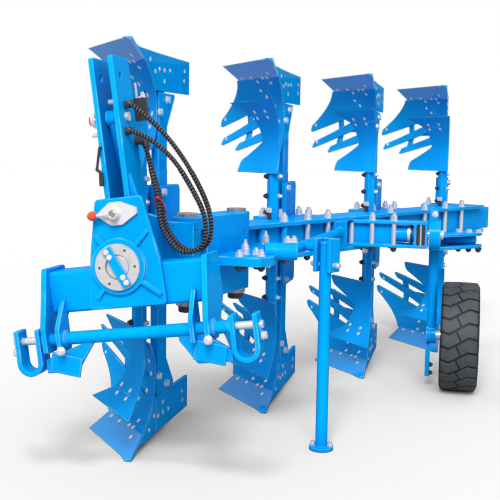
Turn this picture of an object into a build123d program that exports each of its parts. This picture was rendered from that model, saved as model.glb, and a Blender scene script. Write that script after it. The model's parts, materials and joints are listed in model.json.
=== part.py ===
# Four-furrow mounted turnover plough, standing parked on its lower bodies, its stand and its depth wheel.
# Millimetres. While it is built: X to the land side, Y to the rear, Z up, with Z = 0 on the floor,
# X = 0 on the turnover axis and Y = 0 at the first body's tip. The finished pieces are then moved
# so that the origin is at the bottom centre of the whole plough.
from build123d import *
from math import atan2, cos, radians, sin, tan
import os

# Whole plough
AXIS_HEIGHT = 875.0        # turnover axis above the floor, and the mirror plane of upper and lower bodies
HEADSTOCK_ROLL = 7.5       # headstock leans to this angle against the frame when parked
FURROWS = 4
FURROW_WIDTH = 400.0
BODY_PITCH = 850.0         # along the direction of travel
FIRST_TIP_X = -100.0
SEAT_GAP = 0.3             # left between pieces that seat on a curved face

# Plough body: share, chisel, shin, slats, frog and landside
SHARE_ANGLE = 41.0         # cutting edge against the direction of travel
SHARE_SLOPE = 35.0
SHARE_WIDTH = 125.0
SHARE_LENGTH = 520.0
SHARE_EDGE_SET = -9.0      # cutting edge against the tip, square to the edge
BREAST_RADIUS = 267.0
BREAST_TOP = 455.0
PLATE = 10.0               # share, shin and slat plate
FROG_WALL = 18.0
CHISEL_WIDTH = 62.0
CHISEL_TIP_WIDTH = 28.0
CHISEL_TAPER = 55.0        # length of the taper behind the tip
CHISEL_PROUD = 8.0
SHIN_LENGTH = 320.0        # along the edge, where the slats begin
SLAT_SPLIT = 2.0
LANDSIDE_THICK = 12.0
LANDSIDE_LOW = 30.0
LANDSIDE_HIGH = 192.0
LANDSIDE_SPLIT_Y = 330.0
LANDSIDE_END_Y = 800.0
LEG_THICK = 35.0
LEG_DEPTH = 115.0
LEG_Y = 405.0              # leg centre behind the tip
LEG_GAP = 30.0             # between the ends of the upper and the lower leg
WEB = 25.0

# Skimmer ahead of each body
SKIM_EDGE_SET = -44.0
SKIM_DROP = 675.0          # skimmer edge below the turnover axis
SKIM_SLOPE = 45.0
SKIM_SHARE_WIDTH = 92.0
SKIM_RADIUS = 220.0
SKIM_RISE = 356.0          # from the skimmer edge to the top of its board
SKIM_PLATE = 8.0
SKIM_RIGHT = 24.0
STALK_WIDTH = 56.0
STALK_DEPTH = 50.0
STALK_X = -11.0
STALK_Y = 118.0

# Beam, clamp plates and leg brackets; offsets are square to the beam, from the line of the legs
BEAM_OFFSET = 176.0
BEAM_SIDE = 140.0
BEAM_WALL = 10.0
BEAM_AHEAD = 310.0         # beam's front end ahead of the first leg
BEAM_BEHIND = 222.0        # beam's rear end behind the last leg
CLAMP_THICK = 20.0
CLAMP_OVERHANG = 36.0      # clamp plates reach past the beam's front face
BRACKET_THICK = 20.0
BRACKET_HALF_HEIGHT = 270.0
BRACKET_AHEAD = 105.0
BRACKET_BEHIND = 185.0
SPACER_DIA = 26.0

# Front pivots between the turnover frame and the beam
PIN_DIA = 60.0
PIVOT_RADIUS = 56.0
PIVOT_ONE_X = 154.0
PIVOT_ONE_Y = -50.0
PIVOT_TWO_ALONG = 109.0    # second pivot behind the first leg, along the beam
PIVOT_TWO_AHEAD = 78.0     # second pivot ahead of the clamp plates' front edge
LINK_HALF_HEIGHT = 165.0
BOSS_HALF_HEIGHT = 113.0   # turnover frame's boss between the link's two lugs
FORK_CLEAR = 2.0
LINK_CLEAR = 8.0
PIN_CAP_DIA = 82.0
PIN_CAP = 14.0
PIN_NUT = 22.0
PIN_END = 8.0
ADJUSTER_DROP = 12.0       # adjuster plate's middle below the turnover axis
ADJUSTER_PLATE = 36.0
ADJUSTER_BOSS_RISE = 16.0  # boss's middle line above the turnover axis
ADJUSTER_BOSS_DIA = 72.0
CARRIER_DIA = 45.0

# Turnover shaft and its bearing, on the turnover axis
HUB_DIA = 206.0
HUB_FRONT = -400.0
HUB_REAR = -205.0
SHAFT_BORE = 150.0
SHAFT_CLEARANCE = 0.08
SHAFT_HOLLOW = 92.0
COLLAR_DIA = 170.0
COLLAR_THICK = 10.0
FLANGE_DIA = 360.0
FLANGE_REAR = -115.0
FLANGE_THICK = 35.0

# Headstock, measured from the turnover axis
CROSS_X = 13.5             # middle of the cross beam
CROSS_HALF = 301.5
CROSS_FRONT = -370.0
CROSS_DEPTH = 140.0
CROSS_LOW = -155.0
CROSS_HIGH = 0.0
CROSS_WALL = 12.0
FACE_THICK = 18.0
RIB_PROUD = 12.0
RIB_WIDTH = 14.0
TOWER_X = 18.0             # middle of the two tower plates
TOWER_GAP = 57.0
TOWER_PLATE = 18.0
TOWER_OVER = 70.0          # tower above the top-link pin
TOWER_DEPTH = 165.0
TOP_LINK_HEIGHT = 690.0
TOP_LINK_BORE = 26.0
TOP_LINK_SET = 60.0        # top-link pin behind the tower's front edge
CYLINDER_PIN_DROP = 150.0  # cylinder pin below the top-link pin
CYLINDER_PIN_DIA = 34.0
CYLINDER_PIN_Y = -300.0
CYLINDER_DIA = 50.0
CYLINDER_ROD_DIA = 28.0
CYLINDER_BARREL = 260.0
HITCH_X = 42.0             # middle of the lower hitch points
HITCH_SPAN = 825.0
HITCH_DROP = 244.0
HITCH_Y = -418.0
HITCH_PIN_DIA = 28.0
DRAWBAR_DIA = 46.0
DRAWBAR_COLLAR_DIA = 64.0
DRAWBAR_COLLAR = 10.0
CLEVIS_WIDTH = 66.0
CLEVIS_THICK = 16.0
CLEVIS_GAP = 68.0
CLEVIS_HEIGHT = 170.0
CLEVIS_TOP = 42.0          # clevis above its pin
END_PLATE = 18.0
RIB_PLATE = 15.0
RIB_X = 247.5              # inner bracket plates from the middle of the cross beam
BRACKET_LOW = -290.0
GUSSET_PLATE = 16.0
GUSSET_LOW = -368.0
HOSE_DIA = 17.0
FITTING_DIA = 28.0

# Outrigger, wheel arm and depth wheel
OUTRIGGER_FRONT = 1380.0
OUTRIGGER_REAR = 1500.0
OUTRIGGER_END = 1043.0
OUTRIGGER_BOX = 70.0       # width of the open box at the outrigger's end
OUTRIGGER_NECK = 95.0      # length of the tube between the webs and the box
OUTRIGGER_PLATE = 15.0
NECK_DIA = 84.0
ARM_PIVOT_Y = 1440.0
ARM_PIN_DIA = 50.0
ARM_HUB_DIA = 160.0
ARM_HUB_WIDTH = 60.0
ARM_HUB_GAP = 8.0
ARM_X = 1076.0
ARM_TUBE_DIA = 52.0
ARM_BEND = 70.0
ARM_DROP = 40.0            # clamped length of the arm below its pivot
ARM_CLAMP = 16.0
ARM_REACH_X = 1290.0
ARM_REACH_BACK = 100.0     # tube's far end behind its elbow
ARM_ELBOW_BACK = 150.0     # elbow behind the pivot
AXLE_BOSS_DIA = 95.0
WHEEL_X = 1229.0
WHEEL_Y = 1613.0
TYRE_DIA = 600.0
TYRE_WIDTH = 205.0
RIM_DIA = 340.0
RIM_WALL = 10.0
WHEEL_HUB_DIA = 110.0
AXLE_DIA = 50.0
RUNNING = 0.08             # radial clearance of a pin or an axle in its bore

# Stand
STAND_X = 646.0
STAND_Y = 383.0
STAND_DIA = 50.0
STAND_PIVOT_DROP = 55.0    # stand's pivot below the turnover axis
STAND_TOP_RISE = 43.0
STAND_FOOT_DIA = 104.0
STAND_FOOT_THICK = 15.0
STAND_EAR = 14.0
STAND_BOLT = 20.0
STAND_CLEAR = 7.0


def outline(points, radius=0.0):
    """Closed flat face, its corners rounded where a radius is given."""
    if radius:
        return make_face(FilletPolyline(*points, radius=radius, close=True))
    return make_face(Polyline(*points, close=True))


def plate_yz(points, x_low, thick, radius=0.0):
    """Upright plate that faces sideways: points are (y, z)."""
    return extrude(Plane.YZ.offset(x_low) * outline(points, radius), thick)


def plate_xz(points, y_low, thick, radius=0.0):
    """Upright plate that faces forwards: points are (x, z)."""
    return extrude(Plane.XZ.offset(-y_low - thick) * outline(points, radius), thick)


def plate_xy(points, z_low, thick, radius=0.0):
    """Level plate: points are (x, y)."""
    return extrude(Plane.XY.offset(z_low) * outline(points, radius), thick)


def block(x0, x1, y0, y1, z0, z1):
    """Box between two corners."""
    return Pos((x0 + x1) / 2, (y0 + y1) / 2, (z0 + z1) / 2) * Box(x1 - x0, y1 - y0, z1 - z0)


def rod(start, end, dia):
    """Round bar from one point to another."""
    start, end = Vector(start), Vector(end)
    along = end - start
    base = (Align.CENTER, Align.CENTER, Align.MIN)
    return Plane(origin=start, z_dir=along) * Cylinder(dia / 2, along.length, align=base)


def tube(start, end, dia, bore):
    """Round tube from one point to another."""
    return rod(start, end, dia) - rod(start, end, bore)


EDGE = Vector(-sin(radians(SHARE_ANGLE)), cos(radians(SHARE_ANGLE)), 0)
BACK = Vector(cos(radians(SHARE_ANGLE)), sin(radians(SHARE_ANGLE)), 0)
FAR = 1400.0               # longer than any body


class Breast:
    """Soil face of a body: a flat share that runs on into an upright arc, drawn out along the cutting edge.

    Depth is measured behind the face, along is measured on the cutting edge from the landside plane."""

    def __init__(self, edge_set, edge_height, slope, width, radius, top):
        self.slope, self.radius, self.top = radians(slope), radius, top
        self.foot = Vector(edge_set, edge_height)
        self.seam = self.foot + Vector(cos(self.slope), sin(self.slope)) * width
        self.centre = self.seam + Vector(-sin(self.slope), cos(self.slope)) * radius
        self.drawing = Plane(origin=-EDGE * FAR / 2, x_dir=BACK, z_dir=-EDGE)

    def on_arc(self, angle, depth):
        reach = self.radius + depth
        return self.centre + Vector(cos(angle), -sin(angle)) * reach

    def behind(self, depth):
        """Everything behind the face by this depth."""
        set_back = Vector(sin(self.slope), -cos(self.slope)) * depth
        low, seam = self.foot + set_back, self.seam + set_back
        ahead = low - Vector(cos(self.slope), sin(self.slope)) * FAR / 4
        start = radians(90) - self.slope
        rise = (self.top - self.centre.Y) / (self.radius + depth)
        finish = -atan2(rise, (1 - rise * rise) ** 0.5)
        arc_end = self.on_arc(finish, depth)
        face = make_face(Line(ahead, seam)
                         + ThreePointArc(seam, self.on_arc((start + finish) / 2, depth), arc_end)
                         + Polyline(arc_end, (arc_end.X, FAR), (FAR, FAR), (FAR, ahead.Y), ahead))
        return extrude(self.drawing * face, -FAR * 1.5)

    def layer(self, near, far):
        """Plate that follows the face, between two depths."""
        return self.behind(near) - self.behind(far)

    def above_seam(self):
        """Half of space above the seam between share and arc, square to the face."""
        across = Vector(sin(self.slope), -cos(self.slope)) * FAR
        up = Vector(cos(self.slope), sin(self.slope)) * FAR
        corners = (self.seam - across, self.seam + across, self.seam + across + up,
                   self.seam - across + up)
        return extrude(self.drawing * outline(corners), -FAR * 1.5)

    def window(self, points, radius=0.0):
        """Prism square to the cutting edge, seen from ahead: points are (along, height)."""
        view = Plane(origin=-BACK * FAR / 2, x_dir=EDGE, z_dir=BACK)
        return extrude(view * outline(points, radius), FAR)


def left_of(x):
    """Half of space to the left of an upright plane."""
    return block(x - FAR, x, -FAR, FAR, -FAR, FAR)


# One plough body, with its tip's land-side corner at the origin
breast = Breast(SHARE_EDGE_SET, 0.0, SHARE_SLOPE, SHARE_WIDTH, BREAST_RADIUS, BREAST_TOP)
above_floor = block(-FAR, FAR, -FAR, FAR, 0, FAR)
upper_face = breast.above_seam()
plate_layer = (breast.layer(0, PLATE) & above_floor).solid()
share_layer = (plate_layer - upper_face).solid()
face_layer = (plate_layer & upper_face).solid()

CHISEL_END_Y = 260.0
chisel_plan = ((0, 0), (0, CHISEL_END_Y), (-CHISEL_WIDTH, CHISEL_END_Y),
               (-CHISEL_WIDTH, CHISEL_TAPER), (-CHISEL_TIP_WIDTH, 0))
chisel_prism = plate_xy(chisel_plan, 0, FAR)
chisel = (breast.layer(-CHISEL_PROUD, PLATE) & chisel_prism) - upper_face

SHARE_FRONT = -60.0
share_window = breast.window(((SHARE_FRONT, -50), (SHARE_LENGTH, -50), (SHARE_LENGTH + 15, 200),
                              (SHARE_FRONT, 200)))
share = (share_layer & share_window & left_of(0)) - block(-CHISEL_WIDTH, FAR, -FAR, CHISEL_END_Y, 0, FAR)

shin_window = breast.window(((-FAR / 4, 0), (SHIN_LENGTH, 0), (SHIN_LENGTH, BREAST_TOP - 5),
                             (-FAR / 4, BREAST_TOP - 5)))
shin = face_layer & shin_window & left_of(0)

# Slats as they are seen square to the edge: root low and high, tip reach, tip low and high
SLATS = ((60, 186, 990, 264, 312),
         (204, 264, 920, 370, 418),
         (306, 366, 705, 402, 448))
SLAT_TIP_RADIUS = 14.0
slats = []
for root_low, root_high, reach, tip_low, tip_high in SLATS:
    root = SHIN_LENGTH + SLAT_SPLIT
    if root_low < LANDSIDE_LOW + 40:
        corners = ((root, root_low), (SHARE_LENGTH + 10, root_low), (reach - 30, tip_low),
                   (reach, tip_high),
                   (root, root_high))
    else:
        corners = ((root, root_low), (reach - 10, tip_low), (reach, tip_high), (root, root_high))
    slats.append(face_layer & breast.window(corners, SLAT_TIP_RADIUS))

# Stay bar across the backs of the slats and its strut to the frog
STAY_ALONG = 610.0
STAY_WIDTH = 45.0
STAY_THICK = 12.0
stay_window = breast.window(((STAY_ALONG, 190), (STAY_ALONG + STAY_WIDTH, 190),
                             (STAY_ALONG + STAY_WIDTH, 425), (STAY_ALONG, 425)))
stay_bar = breast.layer(PLATE, PLATE + STAY_THICK) & stay_window
WEB_LEFT = -LEG_THICK - WEB
STAY_HEIGHT = 300.0
stay_end = EDGE * (STAY_ALONG + STAY_WIDTH / 2) + BACK * (breast.centre.X + BREAST_RADIUS + PLATE + STAY_THICK)
strut_start = Vector(stay_end.X, stay_end.Y, STAY_HEIGHT)
strut_end = Vector(WEB_LEFT, LEG_Y + 20, STAY_HEIGHT)
stay_strut = rod(strut_start - (strut_end - strut_start).normalized() * STAY_THICK / 2, strut_end, 30)
stay = (stay_bar + (stay_strut & breast.behind(PLATE))) & left_of(WEB_LEFT)

# Frog: curved seat behind the plates, upright web and the landside's seat
behind_plates = breast.behind(PLATE)
FROG_END = 430.0
frog_window = breast.window(((40, 22), (FROG_END, 22), (FROG_END - 30, 330), (40, 330)))
frog_seat = breast.layer(PLATE, PLATE + FROG_WALL) & frog_window & left_of(-LANDSIDE_THICK)
web_points = ((150, 40), (LEG_Y + 130, 40), (LEG_Y + 130, 150), (LEG_Y + 75, 345), (250, 345))
frog_web = plate_yz(web_points, WEB_LEFT, WEB) & behind_plates
landside_seat = block(WEB_LEFT, -LANDSIDE_THICK, 200, LEG_Y + 130, 60, 180) & behind_plates
frog = frog_seat + frog_web + landside_seat

front_points = ((90, LANDSIDE_LOW), (LANDSIDE_SPLIT_Y, LANDSIDE_LOW), (LANDSIDE_SPLIT_Y, LANDSIDE_HIGH),
                (90, LANDSIDE_HIGH))
landside_front = plate_yz(front_points, -LANDSIDE_THICK, LANDSIDE_THICK) & behind_plates
rear_points = ((LANDSIDE_SPLIT_Y + SLAT_SPLIT, LANDSIDE_LOW), (LANDSIDE_END_Y, LANDSIDE_LOW - 6),
               (LANDSIDE_END_Y, LANDSIDE_HIGH - 12), (LANDSIDE_SPLIT_Y + SLAT_SPLIT, LANDSIDE_HIGH))
landside_rear = plate_yz(rear_points, -LANDSIDE_THICK, LANDSIDE_THICK)

LEG_FRONT = LEG_Y - LEG_DEPTH / 2
LEG_BACK = LEG_Y + LEG_DEPTH / 2
LEG_TOE = 107.0            # foot behind the leg
LEG_TOE_THICK = 17.0
LEG_TAPER = 150.0
leg_low = LANDSIDE_HIGH + 3
leg_top = AXIS_HEIGHT - LEG_GAP / 2
leg_points = ((LEG_FRONT, leg_low), (LEG_BACK + LEG_TOE, leg_low),
              (LEG_BACK + LEG_TOE, leg_low + LEG_TOE_THICK),
              (LEG_BACK, leg_low + LEG_TAPER), (LEG_BACK, leg_top), (LEG_FRONT, leg_top))
leg = plate_yz(leg_points, -LEG_THICK, LEG_THICK) & breast.behind(PLATE + 2)
frog = (frog - leg).solid()
stay = (stay - frog).solid()

# One skimmer, in the same place as the body it leads; heights are from its cutting edge
SKIM_HEIGHT = AXIS_HEIGHT - SKIM_DROP
SKIM_TOP = SKIM_HEIGHT + SKIM_RISE
skim = Breast(SKIM_EDGE_SET, SKIM_HEIGHT, SKIM_SLOPE, SKIM_SHARE_WIDTH, SKIM_RADIUS, SKIM_TOP)
skim_layer = skim.layer(0, SKIM_PLATE) & block(-FAR, SKIM_RIGHT, -FAR, FAR, SKIM_HEIGHT, FAR)
skim_upper = skim.above_seam()
SKIM_SHARE_TIP = 370.0
SKIM_SHARE_ROOT = 250.0
SKIM_WAIST = 235.0         # narrowest place of the board
SKIM_FLARE = 455.0         # widest place, at the beam end of the board
SKIM_SEAM_RISE = 66.0
SKIM_WAIST_RISE = 195.0
SKIM_CORNER = 26.0
SKIM_UNDER = -FAR / 4
share_rise = SKIM_HEIGHT + SKIM_SEAM_RISE
skim_share_window = skim.window(((SKIM_UNDER, 0), (SKIM_SHARE_TIP + 30, 0), (SKIM_SHARE_TIP, SKIM_HEIGHT),
                                 (SKIM_SHARE_ROOT, share_rise), (SKIM_SHARE_ROOT, share_rise + 34),
                                 (SKIM_UNDER, share_rise + 34)))
skim_share = (skim_layer - skim_upper) & skim_share_window
board_low = share_rise - SKIM_CORNER
skim_board_window = skim.window(((SKIM_UNDER, board_low), (SKIM_SHARE_ROOT, board_low),
                                 (SKIM_WAIST, SKIM_HEIGHT + SKIM_WAIST_RISE),
                                 (SKIM_FLARE, SKIM_TOP - 60), (SKIM_FLARE - 15, SKIM_TOP - 2),
                                 (SKIM_UNDER, SKIM_TOP - 2)), SKIM_CORNER)
skim_board = skim_layer & skim_upper & skim_board_window

STALK_FOOT = SKIM_HEIGHT + 130.0
STALK_KINK = SKIM_TOP + 4.0
stalk_top = AXIS_HEIGHT - BEAM_SIDE / 2 - CLAMP_THICK
stalk_points = ((STALK_Y - STALK_DEPTH, STALK_FOOT), (STALK_Y + STALK_DEPTH / 2, STALK_FOOT),
                (STALK_Y + STALK_DEPTH / 2, stalk_top), (STALK_Y - STALK_DEPTH / 2, stalk_top),
                (STALK_Y - STALK_DEPTH / 2, STALK_KINK))
stalk = plate_yz(stalk_points, STALK_X - STALK_WIDTH / 2, STALK_WIDTH) & skim.behind(SKIM_PLATE)

bracket_points = ((LEG_Y - BRACKET_AHEAD, AXIS_HEIGHT - BRACKET_HALF_HEIGHT),
                  (LEG_Y + BRACKET_BEHIND, AXIS_HEIGHT - BRACKET_HALF_HEIGHT),
                  (LEG_Y + BRACKET_BEHIND, AXIS_HEIGHT + BRACKET_HALF_HEIGHT),
                  (LEG_Y - BRACKET_AHEAD, AXIS_HEIGHT + BRACKET_HALF_HEIGHT))
bracket_left = plate_yz(bracket_points, -LEG_THICK - BRACKET_THICK, BRACKET_THICK, 30)
bracket_right = plate_yz(bracket_points, 0, BRACKET_THICK, 30)


nodes = {}
stations = [Pos(FIRST_TIP_X + k * FURROW_WIDTH, k * BODY_PITCH, 0) for k in range(FURROWS)]
mirror_plane = Plane.XY.offset(AXIS_HEIGHT)


def along_furrows(*shapes):
    """Copies of a lower body's pieces at each furrow, with their mirror images above."""
    copies = []
    for station in stations:
        for shape in shapes:
            for lower in shape.solids():
                copies += [station * lower, station * mirror(lower, about=mirror_plane)]
    return copies


nodes["shares"] = along_furrows(share)
nodes["chisel_points"] = along_furrows(chisel)
nodes["shins"] = along_furrows(shin)
nodes["mouldboard_slats"] = along_furrows(*slats)
nodes["slat_stays"] = along_furrows(stay)
nodes["frogs"] = along_furrows(frog)
nodes["landsides"] = along_furrows(landside_front, landside_rear)
nodes["legs"] = along_furrows(leg)
nodes["skimmer_shares"] = along_furrows(skim_share)
nodes["skimmer_boards"] = along_furrows(skim_board)
nodes["skimmer_stalks"] = along_furrows(stalk)
nodes["leg_brackets"] = [station * plate for station in stations
                         for plate in (bracket_left, bracket_right)]

# Beam and its clamp plates; places are (along, offset) from the first leg's centre
ALONG = Vector(FURROW_WIDTH, BODY_PITCH).normalized()
ACROSS = Vector(ALONG.Y, -ALONG.X)
FIRST_LEG = Vector(FIRST_TIP_X - LEG_THICK / 2, LEG_Y)
LEG_SPACING = Vector(FURROW_WIDTH, BODY_PITCH).length
BEAM_END = LEG_SPACING * (FURROWS - 1) + BEAM_BEHIND
HALF_BEAM = BEAM_SIDE / 2
CLAMP_FRONT = BEAM_OFFSET + HALF_BEAM + CLAMP_OVERHANG


def beam_point(along, offset):
    """Plan position of a place on the beam."""
    place = FIRST_LEG + ALONG * along + ACROSS * offset
    return (place.X, place.Y)


def beam_plate(along_low, along_high, offset_low, offset_high, z_low, thick, radius=0.0):
    """Level plate or bar that lies along the beam, heights from the turnover axis."""
    corners = [beam_point(along_low, offset_low), beam_point(along_high, offset_low),
               beam_point(along_high, offset_high), beam_point(along_low, offset_high)]
    return plate_xy(corners, AXIS_HEIGHT + z_low, thick, radius)


def both_sides(shape):
    """A piece above the turnover axis and its mirror image below."""
    return [shape, mirror(shape, about=mirror_plane)]


near, far = BEAM_OFFSET - HALF_BEAM, BEAM_OFFSET + HALF_BEAM
beam = beam_plate(-BEAM_AHEAD, BEAM_END, near, far, -HALF_BEAM, BEAM_SIDE)
beam -= beam_plate(-BEAM_AHEAD - 1, BEAM_END + 1, near + BEAM_WALL, far - BEAM_WALL,
                   -HALF_BEAM + BEAM_WALL, BEAM_SIDE - 2 * BEAM_WALL)
nodes["main_beam"] = [beam]
nodes["beam_end_caps"] = [beam_plate(low, low + BEAM_WALL, near, far, -HALF_BEAM, BEAM_SIDE)
                          for low in (-BEAM_AHEAD - BEAM_WALL, BEAM_END)]

pivot_one = Vector(PIVOT_ONE_X, PIVOT_ONE_Y)
pivot_two = Vector(*beam_point(PIVOT_TWO_ALONG, CLAMP_FRONT + PIVOT_TWO_AHEAD))
CLAMP_BACK = near - 15.0
CLAMP_SHORT = 150.0        # clamp plates stop before the beam's end
LUG_AHEAD = 150.0          # lug's root behind the second pivot
PIVOT_OFFSET = CLAMP_FRONT + PIVOT_TWO_AHEAD


def lug(margin, z_low, thick):
    """Ear of a clamp plate around the second pivot, made larger by a margin."""
    reach = PIVOT_RADIUS + margin
    corners = (beam_point(PIVOT_TWO_ALONG - reach, CLAMP_FRONT - CLAMP_OVERHANG / 2),
               beam_point(PIVOT_TWO_ALONG + LUG_AHEAD + margin, CLAMP_FRONT - CLAMP_OVERHANG / 2),
               beam_point(PIVOT_TWO_ALONG + reach, PIVOT_OFFSET),
               beam_point(PIVOT_TWO_ALONG - reach, PIVOT_OFFSET))
    base = Align.CENTER, Align.CENTER, Align.MIN
    round_end = Pos(pivot_two.X, pivot_two.Y, AXIS_HEIGHT + z_low) * Cylinder(reach, thick, align=base)
    return plate_xy(corners, AXIS_HEIGHT + z_low, thick) + round_end


def pivot_bore(place):
    """Hole for a pivot pin through the whole height."""
    return Pos(place.X, place.Y, AXIS_HEIGHT) * Cylinder(PIN_DIA / 2 + RUNNING, 2 * AXIS_HEIGHT)


TAB_AHEAD, TAB_BEHIND, TAB_BACK = 150.0, 200.0, -75.0
clamp = beam_plate(-BEAM_AHEAD, BEAM_END - CLAMP_SHORT, CLAMP_BACK, CLAMP_FRONT, HALF_BEAM, CLAMP_THICK)
clamp += lug(0, HALF_BEAM, CLAMP_THICK) - pivot_bore(pivot_two)
for k in range(FURROWS):
    middle = k * LEG_SPACING
    tab_end = min(middle + TAB_BEHIND, BEAM_END - CLAMP_SHORT)
    tab = beam_plate(middle - TAB_AHEAD, tab_end, TAB_BACK, near, HALF_BEAM, CLAMP_THICK)
    leg_space = block(-LEG_THICK - BRACKET_THICK, BRACKET_THICK, LEG_Y - BRACKET_AHEAD,
                      LEG_Y + BRACKET_BEHIND,
                      0, 2 * AXIS_HEIGHT)
    clamp += tab - stations[k] * leg_space
clamp -= pivot_bore(pivot_two)
nodes["beam_clamp_plates"] = both_sides(max(clamp.solids(), key=lambda solid: solid.volume))

SPACERS = (420, 600, 800, 985, 1640, 2060, 2340, 2580)
spacer_offset = CLAMP_FRONT - SPACER_DIA / 2 - 6
nodes["clamp_spacers"] = [rod((*beam_point(s, spacer_offset), AXIS_HEIGHT - HALF_BEAM),
                              (*beam_point(s, spacer_offset), AXIS_HEIGHT + HALF_BEAM),
                              SPACER_DIA) for s in SPACERS]

# Turnover shaft with its flange, and the boss that carries the first pivot
FLANGE_FRONT = FLANGE_REAR - FLANGE_THICK
SHAFT_FLOOR = 20.0
shaft = rod((0, HUB_FRONT, AXIS_HEIGHT), (0, FLANGE_FRONT, AXIS_HEIGHT), SHAFT_BORE - 2 * SHAFT_CLEARANCE)
shaft -= rod((0, HUB_FRONT, AXIS_HEIGHT), (0, FLANGE_FRONT - SHAFT_FLOOR, AXIS_HEIGHT), SHAFT_HOLLOW)
nodes["turnover_shaft"] = [shaft]
collar_back = HUB_FRONT - SEAT_GAP
collar_front = collar_back - COLLAR_THICK
nodes["shaft_collar"] = [tube((0, collar_front, AXIS_HEIGHT), (0, collar_back, AXIS_HEIGHT), COLLAR_DIA,
                              SHAFT_HOLLOW)]
KEEPER_HALF = COLLAR_DIA / 2 - 6
KEEPER_WIDTH = 34.0
KEEPER_THICK = 8.0
KEEPER_TURN = 58.0
keeper = block(-KEEPER_HALF, KEEPER_HALF, collar_front - KEEPER_THICK, collar_front, -KEEPER_WIDTH / 2,
               KEEPER_WIDTH / 2)
nodes["shaft_keeper"] = [Pos(0, 0, AXIS_HEIGHT) * Rot(0, KEEPER_TURN, 0) * keeper]

FRAME_LEFT = -90.0
FRAME_HALF_HEIGHT = 150.0
boss_left, boss_right = pivot_one.X - PIVOT_RADIUS, pivot_one.X + PIVOT_RADIUS
neck_plan = ((FRAME_LEFT, FLANGE_REAR - 1), (boss_right, FLANGE_REAR - 1), (boss_right, pivot_one.Y),
             (boss_left, pivot_one.Y))
turnover_frame = rod((0, FLANGE_FRONT, AXIS_HEIGHT), (0, FLANGE_REAR, AXIS_HEIGHT), FLANGE_DIA)
turnover_frame += block(FRAME_LEFT, boss_right, FLANGE_FRONT, FLANGE_REAR,
                        AXIS_HEIGHT - FRAME_HALF_HEIGHT,
                        AXIS_HEIGHT + FRAME_HALF_HEIGHT)
turnover_frame += plate_xy(neck_plan, AXIS_HEIGHT - BOSS_HALF_HEIGHT, 2 * BOSS_HALF_HEIGHT)
turnover_frame += Pos(pivot_one.X, pivot_one.Y, AXIS_HEIGHT) * Cylinder(PIVOT_RADIUS,
                                                                        2 * BOSS_HALF_HEIGHT)
nodes["turnover_frame"] = [(turnover_frame - pivot_bore(pivot_one)).solid()]

# Swing link: two lugs on the first pivot, knuckles above, between and below the clamp plates on the second
span = (pivot_two - pivot_one).normalized()
beside = Vector(span.Y, -span.X)


def link_plan(start, end, half_width):
    """Corners of a bar in plan, between two places along the link from the first pivot."""
    places = ((start, 1), (end, 1), (end, -1), (start, -1))
    corners = [pivot_one + span * along + beside * side * half_width for along, side in places]
    return [(corner.X, corner.Y) for corner in corners]


link_length = (pivot_two - pivot_one).length
swing_link = plate_xy(link_plan(0, link_length, PIVOT_RADIUS), AXIS_HEIGHT - LINK_HALF_HEIGHT,
                      2 * LINK_HALF_HEIGHT)
for place in (pivot_one, pivot_two):
    swing_link += Pos(place.X, place.Y, AXIS_HEIGHT) * Cylinder(PIVOT_RADIUS, 2 * LINK_HALF_HEIGHT)
LUG_GAP = BOSS_HALF_HEIGHT + FORK_CLEAR
link_gap = PIVOT_RADIUS + LINK_CLEAR
swing_link -= plate_xy(link_plan(-2 * link_gap, link_gap, 2 * link_gap), AXIS_HEIGHT - LUG_GAP,
                       2 * LUG_GAP)
for slot in both_sides(lug(LINK_CLEAR, HALF_BEAM - FORK_CLEAR, CLAMP_THICK + 2 * FORK_CLEAR)):
    swing_link -= slot
swing_link = (swing_link - pivot_bore(pivot_one) - pivot_bore(pivot_two)).solid()
nodes["swing_link"] = [swing_link]

nodes["pivot_pins"] = []
for place in (pivot_one, pivot_two):
    top, bottom = AXIS_HEIGHT + LINK_HALF_HEIGHT, AXIS_HEIGHT - LINK_HALF_HEIGHT
    pin = rod((place.X, place.Y, bottom - PIN_NUT - PIN_END), (place.X, place.Y, top), PIN_DIA)
    pin += rod((place.X, place.Y, top), (place.X, place.Y, top + PIN_CAP), PIN_CAP_DIA)
    pin += rod((place.X, place.Y, bottom - PIN_NUT), (place.X, place.Y, bottom), PIN_CAP_DIA)
    nodes["pivot_pins"].append(pin)

# Adjuster: plate on the link, boss, and the carrier tube from there back to the beam
ADJUSTER_ROUND = 20.0
ADJUSTER_PLAN = ((75, 30), (108, 268), (205, 283), (319, 246), (428, 146), (684, 54), (657, -53),
                 (494, -4), (430, 20))
BOSS_ALONG, BOSS_OUT, BOSS_SET, BOSS_LENGTH = 295.0, 232.0, 30.0, 132.0


def beside_link(along, out):
    """A place at a distance along the link from its first pin and beside it."""
    return pivot_one + span * along + beside * out


adjuster_low = AXIS_HEIGHT - ADJUSTER_DROP - ADJUSTER_PLATE / 2
adjuster_plan = [beside_link(along, out) for along, out in ADJUSTER_PLAN]
adjuster = plate_xy([(v.X, v.Y) for v in adjuster_plan], adjuster_low, ADJUSTER_PLATE,
                    ADJUSTER_ROUND) - swing_link
adjuster = max(adjuster.solids(), key=lambda solid: solid.volume)
nodes["adjuster_plate"] = [adjuster]
boss_end = beside_link(BOSS_ALONG, BOSS_OUT)
boss_line = Vector(beside.X, beside.Y, 0) * 0.87 + Vector(span.X, span.Y, 0) * 0.5
boss_height = AXIS_HEIGHT + ADJUSTER_BOSS_RISE
boss_start = Vector(boss_end.X, boss_end.Y, boss_height) - boss_line * BOSS_SET
boss_stop = boss_start + boss_line * BOSS_LENGTH
CARRIER_ALONG = 1085.0
carrier_end = Vector(*beam_point(CARRIER_ALONG, CLAMP_FRONT), boss_height)
carrier = (rod(boss_start, boss_stop, ADJUSTER_BOSS_DIA) - adjuster).solid()
nodes["adjuster_boss"] = [carrier]
CARRIER_FOOT = 60.0
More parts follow.
